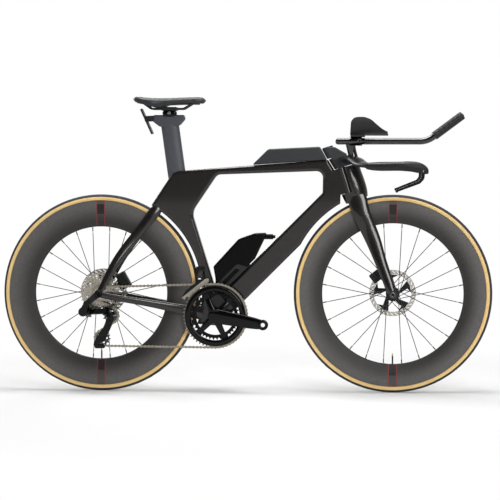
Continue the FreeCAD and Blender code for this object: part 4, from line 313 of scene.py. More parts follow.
# %% Lacquer of frame, bars and cranks
def lacquer(name, dark, light, rough, gloss, coat):
    """Carbon under a clear coat: the colour goes from dark to light with fibres times cloud, and the
    roughness wanders a little about its middle value."""
    finish = Finish(name, Specular_IOR_Level=gloss, Coat_Weight=coat, Coat_Roughness=0.04)
    fibres = finish.noise(60, 6, 0.7, stretch=(1, 1, 7))
    cloud = finish.noise(3.5, 3)
    finish.to("Base Color", finish.blend(finish.math("MULTIPLY", fibres, cloud), dark, light))
    finish.to("Roughness", finish.spread(finish.noise(14, 5), rough - 0.05, rough + 0.06))
    return finish.relief(finish.noise(40, 2), 0.00003, 0.15)


frame_lacquer = lacquer("frame_lacquer", rgb(18, 15, 14), rgb(37, 32, 29), 0.24, 0.3, 0.5)
bar_black = lacquer("bar_black", rgb(9, 9, 9), rgb(20, 20, 21), 0.18, 0.3, 1.0)
crank_black = lacquer("crank_black", rgb(4, 4, 4), rgb(11, 11, 11), 0.2, 0.05, 0.3)
print("lacquers made")

# %% [markdown]
# ### Matte carbon with its fibres
# Seatpost, boxes and the base bar are matte-painted carbon, with a faint streak of fibres and fine flakes.
# Two noises at different scales give both, and a third one the slightly uneven sheen.

# %% Matte carbon
def matte_carbon(name, dark, light, rough, gloss=0.25):
    """Matte carbon: the colour goes from dark to light with streaks times flakes."""
    finish = Finish(name, Specular_IOR_Level=gloss)
    flakes = finish.spread(finish.cells(700), 0.7, 1.3)
    streaks = finish.noise(90, 5, 0.65, stretch=(1, 1, 5))
    finish.to("Base Color", finish.blend(finish.math("MULTIPLY", streaks, flakes), dark, light))
    finish.to("Roughness", finish.spread(finish.noise(30, 4), rough - 0.05, rough + 0.07))
    return finish.relief(finish.noise(600, 3), 0.00002, 0.2)


slate_matte = matte_carbon("slate_matte", rgb(56, 58, 63), rgb(84, 86, 92), 0.38)
box_grey = matte_carbon("box_grey", rgb(34, 35, 37), rgb(56, 57, 60), 0.42)
bar_grey = matte_carbon("bar_grey", rgb(21, 21, 22), rgb(38, 38, 40), 0.3)
clamp_carbon = matte_carbon("clamp_carbon", rgb(22, 22, 23), rgb(44, 44, 46), 0.42)
print("matte carbon made")

# %% [markdown]
# ### Rims
# The deep rims are bare carbon, whose cut layers show as fine streaks, paler towards the tyre. A dark patch
# between two red pinstripes stands on each rim, above and below the hub, and the valve has a brass tip. The
# distance from the axle and the distance from the upright through it tell the shader what a point lies on.

# %% Rim carbon
RIM_EDGE = 0.31
STRIPE_OFF = 0.0133
PATCH_TOP, PATCH_FOOT = 0.289, 0.022
VALVE_LENGTH = 0.027


def rim_carbon(name, axle, nose):
    """Streaked carbon from the nose radius outwards, a dark patch between two pinstripes at the top and the
    bottom, and a valve that ends in brass. Each zone is a product of smooth steps."""
    finish = Finish(name, Specular_IOR_Level=0.3)
    streaks = finish.noise(140, 6, 0.7, stretch=(1, 3, 1))
    grain = finish.math("MULTIPLY", streaks, finish.spread(finish.cells(500), 0.85, 1.15))
    radius = finish.from_axle(axle)
    inner = finish.blend(grain, rgb(35, 34, 33), rgb(52, 50, 48))
    outer = finish.blend(grain, rgb(70, 68, 67), rgb(104, 102, 100))
    carbon = finish.blend(finish.step(radius, nose + 0.012, RIM_EDGE), inner, outer)
    side = finish.off(finish.along((1, 0, 0)), axle[0])
    line = finish.below(finish.off(side, STRIPE_OFF), 0.0006, 0.0012)
    inside = finish.below(side, 0.0126, 0.0132)
    height = finish.math("SUBTRACT", finish.along((0, 0, 1)), axle[2])
    upright = finish.step(finish.math("ABSOLUTE", height), 0.2, 0.201)
    far = finish.step(finish.off(radius, PATCH_TOP), 0.0165, 0.0175)
    near = finish.step(finish.off(radius, nose + PATCH_FOOT), 0.0165, 0.0175)
    outside_block = finish.blend_value(finish.step(height, -0.01, 0.01), near, far)
    block = finish.spread(finish.math("SUBTRACT", 1.0, outside_block), 0.35, 1.0)
    patch = finish.math("MULTIPLY", finish.math("MULTIPLY", inside, upright), block)
    patched = finish.blend(patch, carbon, rgb(27, 26, 25))
    striped = finish.blend(finish.math("MULTIPLY", line, upright), patched, rgb(150, 26, 28))
    stem = finish.below(radius, nose - 0.001, nose - 0.0005)
    tip = finish.below(radius, nose - VALVE_LENGTH - 0.0005, nose - VALVE_LENGTH)
    with_stem = finish.blend(stem, striped, rgb(22, 22, 23))
    finish.to("Base Color", finish.blend(tip, with_stem, rgb(196, 160, 96)))
    finish.to("Metallic", tip)
    finish.to("Roughness", finish.spread(finish.noise(40, 4), 0.4, 0.52))
    return finish.relief(streaks, 0.00005, 0.3)


front_rim_finish = rim_carbon("front_rim_carbon", FRONT_AXLE, 0.241)
rear_rim_finish = rim_carbon("rear_rim_carbon", REAR_AXLE, 0.228)
print("rims made")

# %% [markdown]
# ### Tyres
# The casing's side is tan cotton; the tread is a slate-black strip. Where one ends is a matter of radius, so
# one finish serves the whole tyre. The cotton has a fine weave, and the tread a pattern that only shows close
# by.

# %% Tyre rubber
TREAD_EDGE = (0.3302, 0.3309)
BEAD_EDGE = (0.3186, 0.3194)


def tyre_rubber(name, axle):
    """Tan inside the tread's radius and black outside it, with a slightly wavy border, and a dark bead line
    next to the rim."""
    finish = Finish(name, Specular_IOR_Level=0.25)
    radius = finish.from_axle(axle)
    weave = finish.noise(900, 2, 0.5)
    cloudy_weave = finish.math("MULTIPLY", weave, finish.noise(25, 4))
    tan = finish.blend(cloudy_weave, rgb(222, 182, 118), rgb(252, 230, 172))
    black = finish.blend(finish.noise(300, 4), rgb(34, 35, 38), rgb(62, 64, 68))
    edge = finish.math("ADD", radius, finish.spread(finish.noise(60, 3), -0.0004, 0.0004))
    casing = finish.blend(finish.step(edge, *TREAD_EDGE), tan, black)
    finish.to("Base Color", finish.blend(finish.below(radius, *BEAD_EDGE), casing, rgb(70, 56, 36)))
    finish.to("Roughness", finish.spread(finish.noise(80, 3), 0.6, 0.8))
    return finish.relief(finish.math("ADD", weave, finish.cells(800)), 0.0001, 0.4)


front_tyre_finish = tyre_rubber("front_tyre_rubber", FRONT_AXLE)
rear_tyre_finish = tyre_rubber("rear_tyre_rubber", REAR_AXLE)
print("tyres made")

# %% [markdown]
# ### Metals
# The chain and the sprockets are bare steel with a slightly bronze tint. Black metal is anodised aluminium:
# little gloss, with a fine sparkle. Rotors are dark in the middle with a bright braking track, and the big
# ring is black with its teeth worn bright: both are two finishes that meet at a radius from the axle.

# %% Metal finishes
def bare_steel(name, dark, light, rough):
    """Steel whose colour goes from dark to light with a fine grain."""
    finish = Finish(name, Metallic=1.0)
    finish.to("Base Color", finish.blend(finish.noise(160, 5, 0.7), dark, light))
    finish.to("Roughness", finish.spread(finish.noise(240, 4), rough - 0.08, rough + 0.1))
    return finish.relief(finish.noise(700, 3), 0.00004, 0.3)


def anodised(name, dark, light, rough):
    """Half-metallic dark colour with a grain, under the tiny pits of the anodising."""
    finish = Finish(name, Metallic=0.55, Specular_IOR_Level=0.4)
    finish.to("Base Color", finish.blend(finish.noise(220, 5, 0.7), dark, light))
    finish.to("Roughness", finish.spread(finish.noise(90, 3), rough - 0.06, rough + 0.08))
    return finish.relief(finish.cells(1600), 0.00003, 0.3)


def two_zones(name, axle, border, inner, outer):
    """Disc of two finishes that meet at a radius: a dull pair of colours inside, a metallic pair outside."""
    finish = Finish(name, Specular_IOR_Level=0.2)
    outside = finish.step(finish.from_axle(axle), border - 0.0004, border + 0.0004)
    grain = finish.noise(200, 5, 0.7)
    finish.to("Base Color", finish.blend(outside, finish.blend(grain, *inner), finish.blend(grain, *outer)))
    finish.to("Metallic", finish.spread(outside, 0.45, 1.0))
    smooth = finish.spread(outside, 0.42, 0.3)
    finish.to("Roughness", finish.math("ADD", smooth, finish.spread(grain, -0.08, 0.08)))
    return finish.relief(finish.noise(600, 3), 0.00004, 0.3)


def ground_edge(name, way, level, half):
    """Black plate with a band of bare steel along it: the band is where a place's distance along the
    direction that is square to it lies within half its width of a level."""
    finish = Finish(name, Specular_IOR_Level=0.2)
    band = finish.below(finish.off(finish.along(way), level), half - 0.0006, half + 0.0006)
    grain = finish.noise(180, 5, 0.7)
    black = finish.blend(grain, rgb(14, 14, 14), rgb(34, 34, 35))
    steel = finish.blend(grain, rgb(120, 115, 105), rgb(205, 198, 184))
    finish.to("Base Color", finish.blend(band, black, steel))
    finish.to("Metallic", finish.spread(band, 0.3, 1.0))
    finish.to("Roughness", finish.spread(grain, 0.26, 0.42))
    return finish.relief(finish.noise(600, 3), 0.00004, 0.3)


print("metal helpers ready")

# %% Metals of the bike
DARK_ALLOY = (rgb(20, 20, 21), rgb(46, 46, 48))
RING_BLACK = (rgb(10, 10, 10), rgb(22, 22, 23))
RING_GREY = (rgb(74, 74, 76), rgb(112, 112, 114))
# Painted shade: the near-black inside the axle-end sockets stands for the dark of the hollow axle's bore,
# which the geometry sinks only about a millimetre.
SOCKET_PAINTED_SHADE = (rgb(3, 3, 3), rgb(8, 8, 8))
TRACK_BRIGHT = (rgb(150, 146, 138), rgb(214, 210, 202))
TEETH_WORN = (rgb(84, 81, 75), rgb(150, 146, 138))
TRACK_RADIUS, TEETH_RADIUS = 0.065, 0.1045
REAR_SOCKET_RADIUS, FORK_SOCKET_RADIUS = 0.0068, 0.0046

chain_steel = bare_steel("chain_steel", rgb(92, 87, 79), rgb(190, 182, 165), 0.27)
cog_steel = bare_steel("cog_steel", rgb(132, 127, 117), rgb(222, 216, 203), 0.28)
spoke_steel = matte_carbon("spoke_steel", rgb(38, 37, 36), rgb(66, 65, 64), 0.4)
axle_steel = bare_steel("axle_steel", rgb(90, 90, 92), rgb(150, 150, 152), 0.34)
black_alloy = anodised("black_alloy", rgb(20, 20, 21), rgb(48, 48, 50), 0.4)
plate_steel = ground_edge("plate_steel", (-0.63, 0, 0.78), 0.3842, 0.0075)
front_rotor_finish = two_zones("front_rotor_metal", FRONT_AXLE, TRACK_RADIUS, DARK_ALLOY, TRACK_BRIGHT)
rear_rotor_finish = two_zones("rear_rotor_metal", REAR_AXLE, TRACK_RADIUS, DARK_ALLOY, TRACK_BRIGHT)
# The axle ends: painted shade inside the socket's radius and the alloy's own colour outside it.
rear_cap_metal_and_shade = two_zones("rear_end_metal_with_painted_shade", REAR_AXLE, REAR_SOCKET_RADIUS, SOCKET_PAINTED_SHADE, DARK_ALLOY)
fork_ring_metal_and_shade = two_zones("fork_end_metal_with_painted_shade", FRONT_AXLE, FORK_SOCKET_RADIUS, SOCKET_PAINTED_SHADE, RING_GREY)
ring_finish = two_zones("ring_metal", CRANK_AXLE, TEETH_RADIUS, RING_BLACK, TEETH_WORN)
print("metals made")

# %% [markdown]
# ### Rubber, plastic and soft covers
# Grips and hoods are moulded rubber with fine ribs; the bottle is satin plastic. The saddle's cover is a thin
# smooth synthetic leather with a fine grain, and the arm pads are dense foam with an open, slightly dusty
# skin. Ribs are a sine along the grip, and grain and pores are scattered cells.

# %% Rubber, plastic and covers
def moulded_rubber(name, dark, light, way, pitch, relief):
    """Ribs square to a direction, a pitch apart, under a dusty noise: the sine of the distance along it."""
    finish = Finish(name, Specular_IOR_Level=0.25)
    finish.to("Base Color", finish.blend(finish.noise(60, 5), dark, light))
    finish.to("Roughness", finish.spread(finish.noise(200, 3), 0.42, 0.6))
    ribs = finish.math("SINE", finish.math("MULTIPLY", finish.along(way), 2 * math.pi / pitch))
    return finish.relief(ribs, relief, 0.5)


def soft_cover(name, dark, light, grain, rough, sheen, depth):
    """Leather or foam: the colour goes from dark to light with a cloud times pores, and the pores are also
    the bumps."""
    finish = Finish(name, Specular_IOR_Level=0.28, Sheen_Weight=sheen, Sheen_Roughness=0.5)
    pores = finish.cells(grain)
    cloud = finish.math("MULTIPLY", finish.noise(45, 5), finish.spread(pores, 0.8, 1.2))
    finish.to("Base Color", finish.blend(cloud, dark, light))
    finish.to("Roughness", finish.spread(finish.noise(150, 4), rough - 0.08, rough + 0.08))
    return finish.relief(finish.math("ADD", pores, finish.noise(grain * 1.7, 3)), depth, 0.35)


GRIP_WAY, GRIP_PITCH = (0.802, 0, 0.598), 0.019
HOOD_WAY, HOOD_PITCH = (1, 0, 0), 0.004
grip_rubber = moulded_rubber("grip_rubber", rgb(22, 22, 23), rgb(44, 44, 46), GRIP_WAY, GRIP_PITCH, 0.0005)
hood_rubber = moulded_rubber("hood_rubber", rgb(18, 18, 19), rgb(36, 36, 38), HOOD_WAY, HOOD_PITCH, 0.00008)
bottle_plastic = matte_carbon("bottle_plastic", rgb(4, 4, 4), rgb(12, 12, 12), 0.26, 0.1)
saddle_leather = soft_cover("saddle_leather", rgb(27, 28, 30), rgb(46, 47, 50), 1500, 0.36, 0.05, 0.00004)
pad_foam = soft_cover("pad_foam", rgb(28, 28, 29), rgb(52, 52, 53), 1100, 0.8, 0.15, 0.0002)
print("soft finishes made")

# %% [markdown]
# ## Finishes on the solids
# Each solid of the bike is one piece of one material, so it gets its finish by name: a table lists which
# solids wear which finish. A solid's mesh stays as it is, and only its material slot is filled. A solid that
# the table forgets would show as plain grey, so the cell prints any that are left.

# %% Put the finishes on the solids
FINISHES = {
    frame_lacquer: ["main_frame", "seat_stays", "chain_stays", "fork"],
    bar_black: ["riser_post", "extensions", "left_brake_lever", "right_brake_lever", "guide_pulley",
                "tension_pulley"],
    crank_black: ["right_crank_arm", "left_crank_arm", "rear_derailleur_base", "rear_derailleur_outer_link",
                  "rear_derailleur_knuckle", "rear_derailleur_cage", "front_derailleur_body"],
    slate_matte: ["seatpost"],
    box_grey: ["storage_box", "nose_box"],
    bar_grey: ["base_bar"],
    clamp_carbon: ["arm_rests", "rear_mount_plate", "saddle_rails", "saddle_shell", "bottle_cage"],
    front_rim_finish: ["front_rim"],
    rear_rim_finish: ["rear_rim"],
    front_tyre_finish: ["front_tyre"],
    rear_tyre_finish: ["rear_tyre"],
    chain_steel: ["chain"],
    plate_steel: ["front_derailleur_cage"],
    cog_steel: ["cassette"],
    spoke_steel: ["front_spokes", "rear_spokes"],
    axle_steel: ["crank_spindle", "headset_bearings", "bottom_bracket"],
    black_alloy: ["front_hub", "rear_hub", "front_axle", "rear_axle", "front_caliper", "rear_caliper",
                  "saddle_clamp", "power_meter", "derailleur_hanger", "rear_derailleur_inner_link",
                  "front_derailleur_link"],
    front_rotor_finish: ["front_rotor"],
    rear_rotor_finish: ["rear_rotor"],
    ring_finish: ["chainrings"],
    grip_rubber: ["extension_grips", "left_shift_button", "right_shift_button"],
    hood_rubber: ["lever_brackets"],
    bottle_plastic: ["bottle"],
    saddle_leather: ["saddle_cover"],
    pad_foam: ["arm_pads"],
}
for material, names in FINISHES.items():
    for name in names:
        mesh = nodes[name].data
        mesh.materials.clear()
        mesh.materials.append(material)
left_over = sorted(set(nodes) - {name for names in FINISHES.values() for name in names})
print("solids without a finish:", left_over)

# %% [markdown]
# ## Pieces from grids
# A new piece is a surface over two parameters: one runs along it, the other round its section. The whole grid
# is worked out at once as arrays. Faces join each grid point to its neighbours, and the two ends are closed
# with a fan.

# %% Surface from a grid
def tube_mesh(name, grid, body, material, looped=False):
    """Closed skin over a grid of rings: grid[i, j] is point j of ring i. Faces run round each pair of rings,
    and a fan closes the first and the last ring on its middle. In a looped skin the last ring joins the
    first instead."""
    rings, points = grid.shape[:2]
    ends = grid[[0, -1]].mean(axis=1)
    corners = np.concatenate([grid.reshape(-1, 3), ends])
    ring = np.arange(rings * points).reshape(rings, points)
    after = np.roll(ring, -1, axis=1)
    walls = np.stack([ring, after, np.roll(after, -1, axis=0), np.roll(ring, -1, axis=0)], axis=-1)
    first = np.stack([after[0], ring[0], np.full(points, rings * points)], axis=-1)
    last = np.stack([ring[-1], after[-1], np.full(points, rings * points + 1)], axis=-1)
    if looped:
        corners = corners[:-2]
        faces = walls.reshape(-1, 4).tolist()
    else:
        faces = walls[:-1].reshape(-1, 4).tolist() + first.tolist() + last.tolist()
    mesh = bpy.data.meshes.new(name)
    mesh.from_pydata(corners.tolist(), [], faces)
    mesh.update()
    mesh.shade_smooth()
    mesh.materials.append(material)
    piece = bpy.data.objects.new(name, mesh)
    bpy.context.scene.collection.objects.link(piece)
    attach(piece, body)
    return piece


def full_turn(points):
    """Angles of one whole turn, as many as a ring has points."""
    return np.linspace(0, 2 * np.pi, points, endpoint=False)


def smooth_curve(value, knots, heights):
    """Curve through knots with no kink: between two knots a cubic, whose slopes are those of the
    neighbouring knots."""
    slopes = np.gradient(heights, knots, axis=0)
    index = np.clip(np.searchsorted(knots, value) - 1, 0, len(knots) - 2)
    width = knots[index + 1] - knots[index]
    share = (value - knots[index]) / width
    shape = (-1,) + (1,) * (np.ndim(heights) - 1)
    share, width = share.reshape(shape), width.reshape(shape)
    rise = heights[index + 1] - heights[index]
    start, stop = slopes[index] * width, slopes[index + 1] * width
    curve = 3 * rise - 2 * start - stop + share * (start + stop - 2 * rise)
    return heights[index] + share * (start + share * curve)


def rounded(value, power):
    """Sine or cosine pushed towards its ends: the sign kept, the size to a power."""
    return np.sign(value) * np.abs(value) ** power


print("grid helpers ready")

# %% [markdown]
# ## The saddle's cover
# A short-nosed racing saddle: wide behind, narrow in front, with a crowned top, wings that hang down beside
# the rails and a pressure channel down the middle. A cloth simulation would round these crisp moulded edges
# away, so each ring is a closed curve through a few points of the section, and the rings follow the saddle's
# top line, lower edge and width.

# %% Lines of the saddle
STATIONS = np.array([-0.3885, -0.381, -0.370, -0.346, -0.322, -0.290,
                     -0.262, -0.230, -0.190, -0.160, -0.147, -0.1395])
HALF_WIDTHS = np.array([0.018, 0.049, 0.0625, 0.068, 0.068, 0.0585,
                        0.045, 0.034, 0.0272, 0.0225, 0.017, 0.005])
TOPS = np.array([1.0105, 1.0165, 1.0170, 1.0145, 1.0120, 1.0110,
                 1.0110, 1.0120, 1.0130, 1.0125, 1.0095, 1.0030])
LOWS = np.array([1.0060, 0.9990, 0.9925, 0.9870, 0.9790, 0.9790,
                 0.9860, 0.9915, 0.9915, 0.9910, 0.9920, 0.9985])
ROOFS = np.array([1.0065, 0.9998, 1.0028, 1.0004, 0.9980, 0.9970,
                  0.9970, 0.9980, 0.9990, 0.9985, 0.9935, 0.9988])
WING_THICKNESS = 0.0082
CHANNEL_DEPTH, CHANNEL_WIDTH = 0.0042, 0.0085
CHANNEL_MIDDLE, CHANNEL_REACH, CHANNEL_SPAN = -0.27, 0.088, 1.6
SEAM_DEPTH, SEAM_PLACE, SEAM_WIDTH = 0.0006, 2.15, 0.07
print("saddle length", round(STATIONS[-1] - STATIONS[0], 3))


# %% Saddle cover
def section_points(half, top, low, roof):
    """Points round a section as columns of (across, up): crown, shoulder, side, lower lip, inner wall and
    roof on the right, and the same mirrored on the left."""
    zero = np.zeros_like(half)
    wall = np.maximum(half - WING_THICKNESS, 0.35 * half)
    right = [(0.5 * half, top - 0.0008), (0.86 * half, top - 0.0052), (half, low + 0.5 * (top - low)),
             (0.975 * half, low + 0.0035), (0.93 * half, low), (wall, low + 0.2 * (roof - low)),
             (0.75 * wall, roof)]
    left = [(-across, up) for across, up in reversed(right)]
    ring = [(zero, top)] + right + [(zero, roof)] + left
    return np.array(ring + ring[:1]).transpose(2, 0, 1)


def bump(value, width, power=2):
    """Bell of height 1: exp(-(value / width) ^ power)."""
    return np.exp(-(value / width) ** power)


def saddle_grid(rings=150, fine=12):
    """Rings from tail to nose: a closed smooth curve through the section's points, less a bell-shaped valley
    along the middle of the top and a fine seam where the top panel meets the wings."""
    share = np.linspace(0, 1, rings)
    x = STATIONS[0] + (STATIONS[-1] - STATIONS[0]) * (0.6 * share + 0.4 * (1 - np.cos(np.pi * share)) / 2)
    half, top, low, roof = (smooth_curve(x, STATIONS, line) for line in (HALF_WIDTHS, TOPS, LOWS, ROOFS))
    points = section_points(half, top, low, roof)
    knots = np.arange(points.shape[1], dtype=float)
    turn = np.linspace(0, knots[-1], fine * len(knots), endpoint=False)
    wrapped = np.concatenate([points[:, -3:-1], points, points[:, 1:3]], axis=1).transpose(1, 0, 2)
    ring = smooth_curve(turn + 2, np.arange(len(wrapped), dtype=float), wrapped).transpose(1, 0, 2)
    across, up = ring[..., 0], ring[..., 1]
    upper = (turn < CHANNEL_SPAN) | (turn > knots[-1] - CHANNEL_SPAN)
    lengthwise = bump(x - CHANNEL_MIDDLE, CHANNEL_REACH, 6)[:, None]
    valley = CHANNEL_DEPTH * bump(across, CHANNEL_WIDTH) * upper * lengthwise
    seams = bump(turn - SEAM_PLACE, SEAM_WIDTH) + bump(turn - knots[-1] + SEAM_PLACE, SEAM_WIDTH)
    height = up - valley - SEAM_DEPTH * seams[None, :]
    return np.stack([np.broadcast_to(x[:, None], across.shape), across, height], axis=-1)[:, ::-1]


saddle = tube_mesh("saddle_padding", saddle_grid(), "saddle", saddle_leather)
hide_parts("saddle_cover")
print("saddle", len(saddle.data.polygons), "faces")

# %% [markdown]
# ## The arm pads
# Each forearm lies in a trough, lined with a thick foam pad: low on the inner side, high on the outer side
# near the elbow and falling towards the wrist. In the trough's own coordinates a pad is a flat cushion, so it
# is drawn there, over the angle round the trough and the distance along it, and bent into place.

# %% Arm pads
pad_low, pad_high = (np.array(corner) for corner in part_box("arm_pads"))
TROUGH_RADIUS, PAD_HALF, ARM_SPACING = 0.0381, 0.0042, 0.090
PAD_CLEARANCE, PAD_END, PAD_CROWN = 0.0004, 0.001, 0.12
TROUGH_HEIGHT = pad_low[2] + TROUGH_RADIUS + PAD_HALF + PAD_CLEARANCE
PAD_PLACES = np.array([0.356, 0.362, 0.372, 0.385, 0.405, 0.425, 0.445, 0.465, 0.484])
OUTER_ANGLES = np.radians([50, 84, 101, 107, 108, 101, 76, 47, 20])
INNER_ANGLES = np.radians([2, 6, 22, 36, 36, 32, 27, 14, 3])


def pad_grid(hand, rings=110, points=96):
    """Rings along the arm. Round a ring the angle swings from the inner to the outer edge and back, while
    the radius swells by half the thickness times a rounded sine: a cushion bent round the trough."""
    along = np.linspace(0, 1, rings)
    end = np.sqrt(np.clip(1 - np.abs(2 * along - 1) ** 12, 0, 1))
    x = pad_low[0] + PAD_END + (pad_high[0] - pad_low[0] - 2 * PAD_END) * along
    outer = smooth_curve(x, PAD_PLACES, OUTER_ANGLES)
    inner = smooth_curve(x, PAD_PLACES, INNER_ANGLES)
    turn = full_turn(points)
    reach = (outer + inner) / 2
    swing = rounded(np.cos(turn), 0.7)[None, :] * (reach * end)[:, None]
    bend = swing + ((outer - inner) / 2)[:, None]
    share = np.clip(swing / reach[:, None], -1, 1)
    crown = 1 + PAD_CROWN * np.cos(share * np.pi / 2) * (np.sin(turn) > 0)
    radius = TROUGH_RADIUS - PAD_HALF * rounded(np.sin(turn), 0.55)[None, :] * crown * end[:, None] ** 0.5
    y = hand * (ARM_SPACING + radius * np.sin(bend))
    z = TROUGH_HEIGHT - radius * np.cos(bend)
    grid = np.stack([np.broadcast_to(x[:, None], y.shape), y, z], axis=-1)
    return grid if hand < 0 else grid[:, ::-1]


pads = [tube_mesh(name, pad_grid(hand), "steering", pad_foam)
        for name, hand in (("right_arm_padding", -1), ("left_arm_padding", 1))]
for pad in pads:
    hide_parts("arm_pads")
print("arm pads", [len(pad.data.polygons) for pad in pads], "faces")

# %% [markdown]
# ## Bolts and caps
# Every fastener on the bike is turned metal, so each one is a profile turned about its axis: a bevelled head
# with a socket sunk into it. A profile is a few pairs of radius and height, and the whole skin comes from one
# outer product with the cosine and the sine of the turn.

# %% Bolts and caps
def turned_skin(profile, place, hand, turns=40):
    """Rings of a turned piece whose axis is Y and whose outer face looks to one hand: each point is the place
    plus the height along the axis plus the radius times cosine and sine of the turn."""
    radius, height = np.array(profile).T
    angle = full_turn(turns)
    x = place[0] + radius[:, None] * np.cos(angle)
    y = np.broadcast_to(place[1] + hand * height[:, None], x.shape)
    z = place[2] + radius[:, None] * np.sin(angle)
    grid = np.stack([x, y, z], axis=-1)
    return grid if hand < 0 else grid[:, ::-1]


def bolt_profile(radius, height):
    """Head with a bevelled rim and a socket sunk to a little under half its height."""
    bevel, socket = 0.16 * radius, 0.46 * radius
    return [(radius, 0), (radius, height - bevel), (radius - bevel, height), (socket + bevel / 2, height),
            (socket, height - bevel / 2), (0.9 * socket, 0.45 * height), (0.1 * socket, 0.42 * height)]


BOLTS = {
    # The two axle ends wear a finish with painted shade in the socket.
    "fork_end_ring": ("steering", fork_ring_metal_and_shade, (0.5025, -0.0618, 0.3395), -1, 0.0098, 0.0022),
    "rear_end_cap": ("frame", rear_cap_metal_and_shade, (-0.5025, -0.0861, 0.3395), -1, 0.0132, 0.0024),
    "left_crank_cap": ("crankset", crank_black, (-0.104, 0.0664, 0.2645), 1, 0.0165, 0.0030),
    "right_clamp_bolt": ("tilt_clamp", axle_steel, (-0.264, -0.0196, 0.9585), -1, 0.0058, 0.0034),
    "left_clamp_bolt": ("tilt_clamp", axle_steel, (-0.264, 0.0196, 0.9585), 1, 0.0058, 0.0034),
    "right_rest_bolt": ("steering", bar_black, (0.387, -0.0610, 0.8640), -1, 0.0078, 0.0050),
    "left_rest_bolt": ("steering", bar_black, (0.387, 0.0610, 0.8640), 1, 0.0078, 0.0050),
    "right_hood_pivot": ("steering", axle_steel, (0.600, -0.2136, 0.7600), -1, 0.0030, 0.0016),
    "left_hood_pivot": ("steering", axle_steel, (0.600, 0.2136, 0.7600), 1, 0.0030, 0.0016),
}
for name, (body, material, place, hand, radius, height) in BOLTS.items():
    piece = tube_mesh(name, turned_skin(bolt_profile(radius, height), place, hand), body, material)
print(len(BOLTS), "bolts and caps")

# %% [markdown]
# ## Forged crank arms
# A crank arm is a hollow forging, broad with flat faces where it leaves the spindle and narrower at the
# pedal's eye. The solid is its core. The forged skin is a flat oval carried along the arm from behind the
# spindle, and a turned ring stands round the drilled eye. An oval carried along a line needs only its width
# at a few places.

# %% Lines of the crank arms
ARM_REACH = np.array([-0.0235, -0.0215, -0.0150, 0.0, 0.030, 0.060, 0.110, 0.140, 0.158])
ARM_HALF = np.array([0.0060, 0.0110, 0.0185, 0.0235, 0.0240, 0.0230, 0.0215, 0.0193, 0.0172])
ARM_DEPTH = np.array([0.0060, 0.0076, 0.0081, 0.0081, 0.0082, 0.0082, 0.0080, 0.0075, 0.0069])
ARM_BEND = np.array([0.0597, 0.0597, 0.0597, 0.0597, 0.0612, 0.0621, 0.0632, 0.0650, 0.0660])
ARM_DROP = math.radians(-10.1)
EYE_REACH, EYE_SIDE, EYE_HALF = 0.1675, 0.066, 0.0069
EYE_OUTER, EYE_BORE, EYE_BEVEL = 0.0180, 0.0076, 0.0010
print("arm is", round(2 * ARM_HALF.max(), 3), "broad")


# %% Forged crank arms
def crank_grid(hand, rings=90, points=64):
    """Rings along the arm: the reach gives each ring's middle, and the ring is an oval whose cosine and sine
    are pushed towards their ends, so that its faces are flat and its edges rounded."""
    reach = np.linspace(ARM_REACH[0], ARM_REACH[-1], rings)
    lines = (ARM_HALF, ARM_DEPTH, ARM_BEND)
    half, depth, side = (smooth_curve(reach, ARM_REACH, line)[:, None] for line in lines)
    turn = full_turn(points)
    across = half * rounded(np.cos(turn), 0.62)
    out = np.array([math.cos(ARM_DROP), math.sin(ARM_DROP)]) * -hand
    x = CRANK_AXLE[0] + reach[:, None] * out[0] - across * out[1]
    z = CRANK_AXLE[2] + reach[:, None] * out[1] + across * out[0]
    y = hand * side + depth * rounded(np.sin(turn), 0.62)
    return np.stack([x, y, z], axis=-1)


def eye_profile(outer, bore, height):
    """Round of a ring from its outer edge over its face into the bore, with bevels."""
    bevel = EYE_BEVEL
    return [(outer - bevel, 0), (outer, bevel), (outer, height - bevel), (outer - bevel, height),
            (bore + bevel, height), (bore, height - bevel), (bore, bevel), (bore + bevel, 0)]


for name, hand in (("right_crank", -1), ("left_crank", 1)):
    eye = (CRANK_AXLE[0] - hand * EYE_REACH * math.cos(ARM_DROP), hand * (EYE_SIDE - EYE_HALF),
           CRANK_AXLE[2] - hand * EYE_REACH * math.sin(ARM_DROP))
    ring = turned_skin(eye_profile(EYE_OUTER, EYE_BORE, 2 * EYE_HALF), eye, hand)
    tube_mesh(name + "_skin", crank_grid(hand), "crankset", crank_black)
    tube_mesh(name + "_eye", ring, "crankset", crank_black, looped=True)
print("crank arms forged")

# %% [markdown]
# ## Crowned face of the big ring
# The big ring carries a broad black face that is slightly crowned, so that it catches the lamps in thin arcs.
# It is turned like the bolts: a low arch from the outer edge to the inner edge, closed on itself as a loop.

# %% Face of the big ring
RING_FACE = [(0.1008, 0.0), (0.1002, 0.0007), (0.0985, 0.0015), (0.0955, 0.0021), (0.0915, 0.0022),
             (0.0880, 0.0018), (0.0856, 0.0010), (0.0845, 0.0)]
RING_SIDE = -0.0503
face_grid = turned_skin(RING_FACE, (CRANK_AXLE[0], RING_SIDE, CRANK_AXLE[2]), -1, turns=180)
ring_face = tube_mesh("chainring_face", face_grid, "crankset", crank_black, looped=True)
print("ring face", len(ring_face.data.polygons), "faces")

# %% [markdown]
# ## Outer plate of the pulley cage
# Outside the two pulleys runs a black plate, bent from the upper pulley down past the lower one, with a short
# foot that points forward. It is a flat strap: a rounded bar section carried along a curved line through a
# few points.

# %% Outer plate of the pulley cage
PLATE_LINE = np.array([[-0.4660, 0.2490], [-0.4700, 0.2390], [-0.4770, 0.2230], [-0.4900, 0.2020],
                       [-0.5030, 0.1820], [-0.5120, 0.1665], [-0.5150, 0.1600]])
PLATE_HALF = np.array([0.0080, 0.0100, 0.0098, 0.0098, 0.0098, 0.0085, 0.0060])
FOOT_LINE = np.array([[-0.5170, 0.1585], [-0.5130, 0.1590], [-0.5000, 0.1590], [-0.4860, 0.1595],
                      [-0.4810, 0.1600]])
FOOT_HALF = np.array([0.0040, 0.0068, 0.0070, 0.0066, 0.0040])
PLATE_SIDE, SHEET_HALF = -0.0714, 0.0010


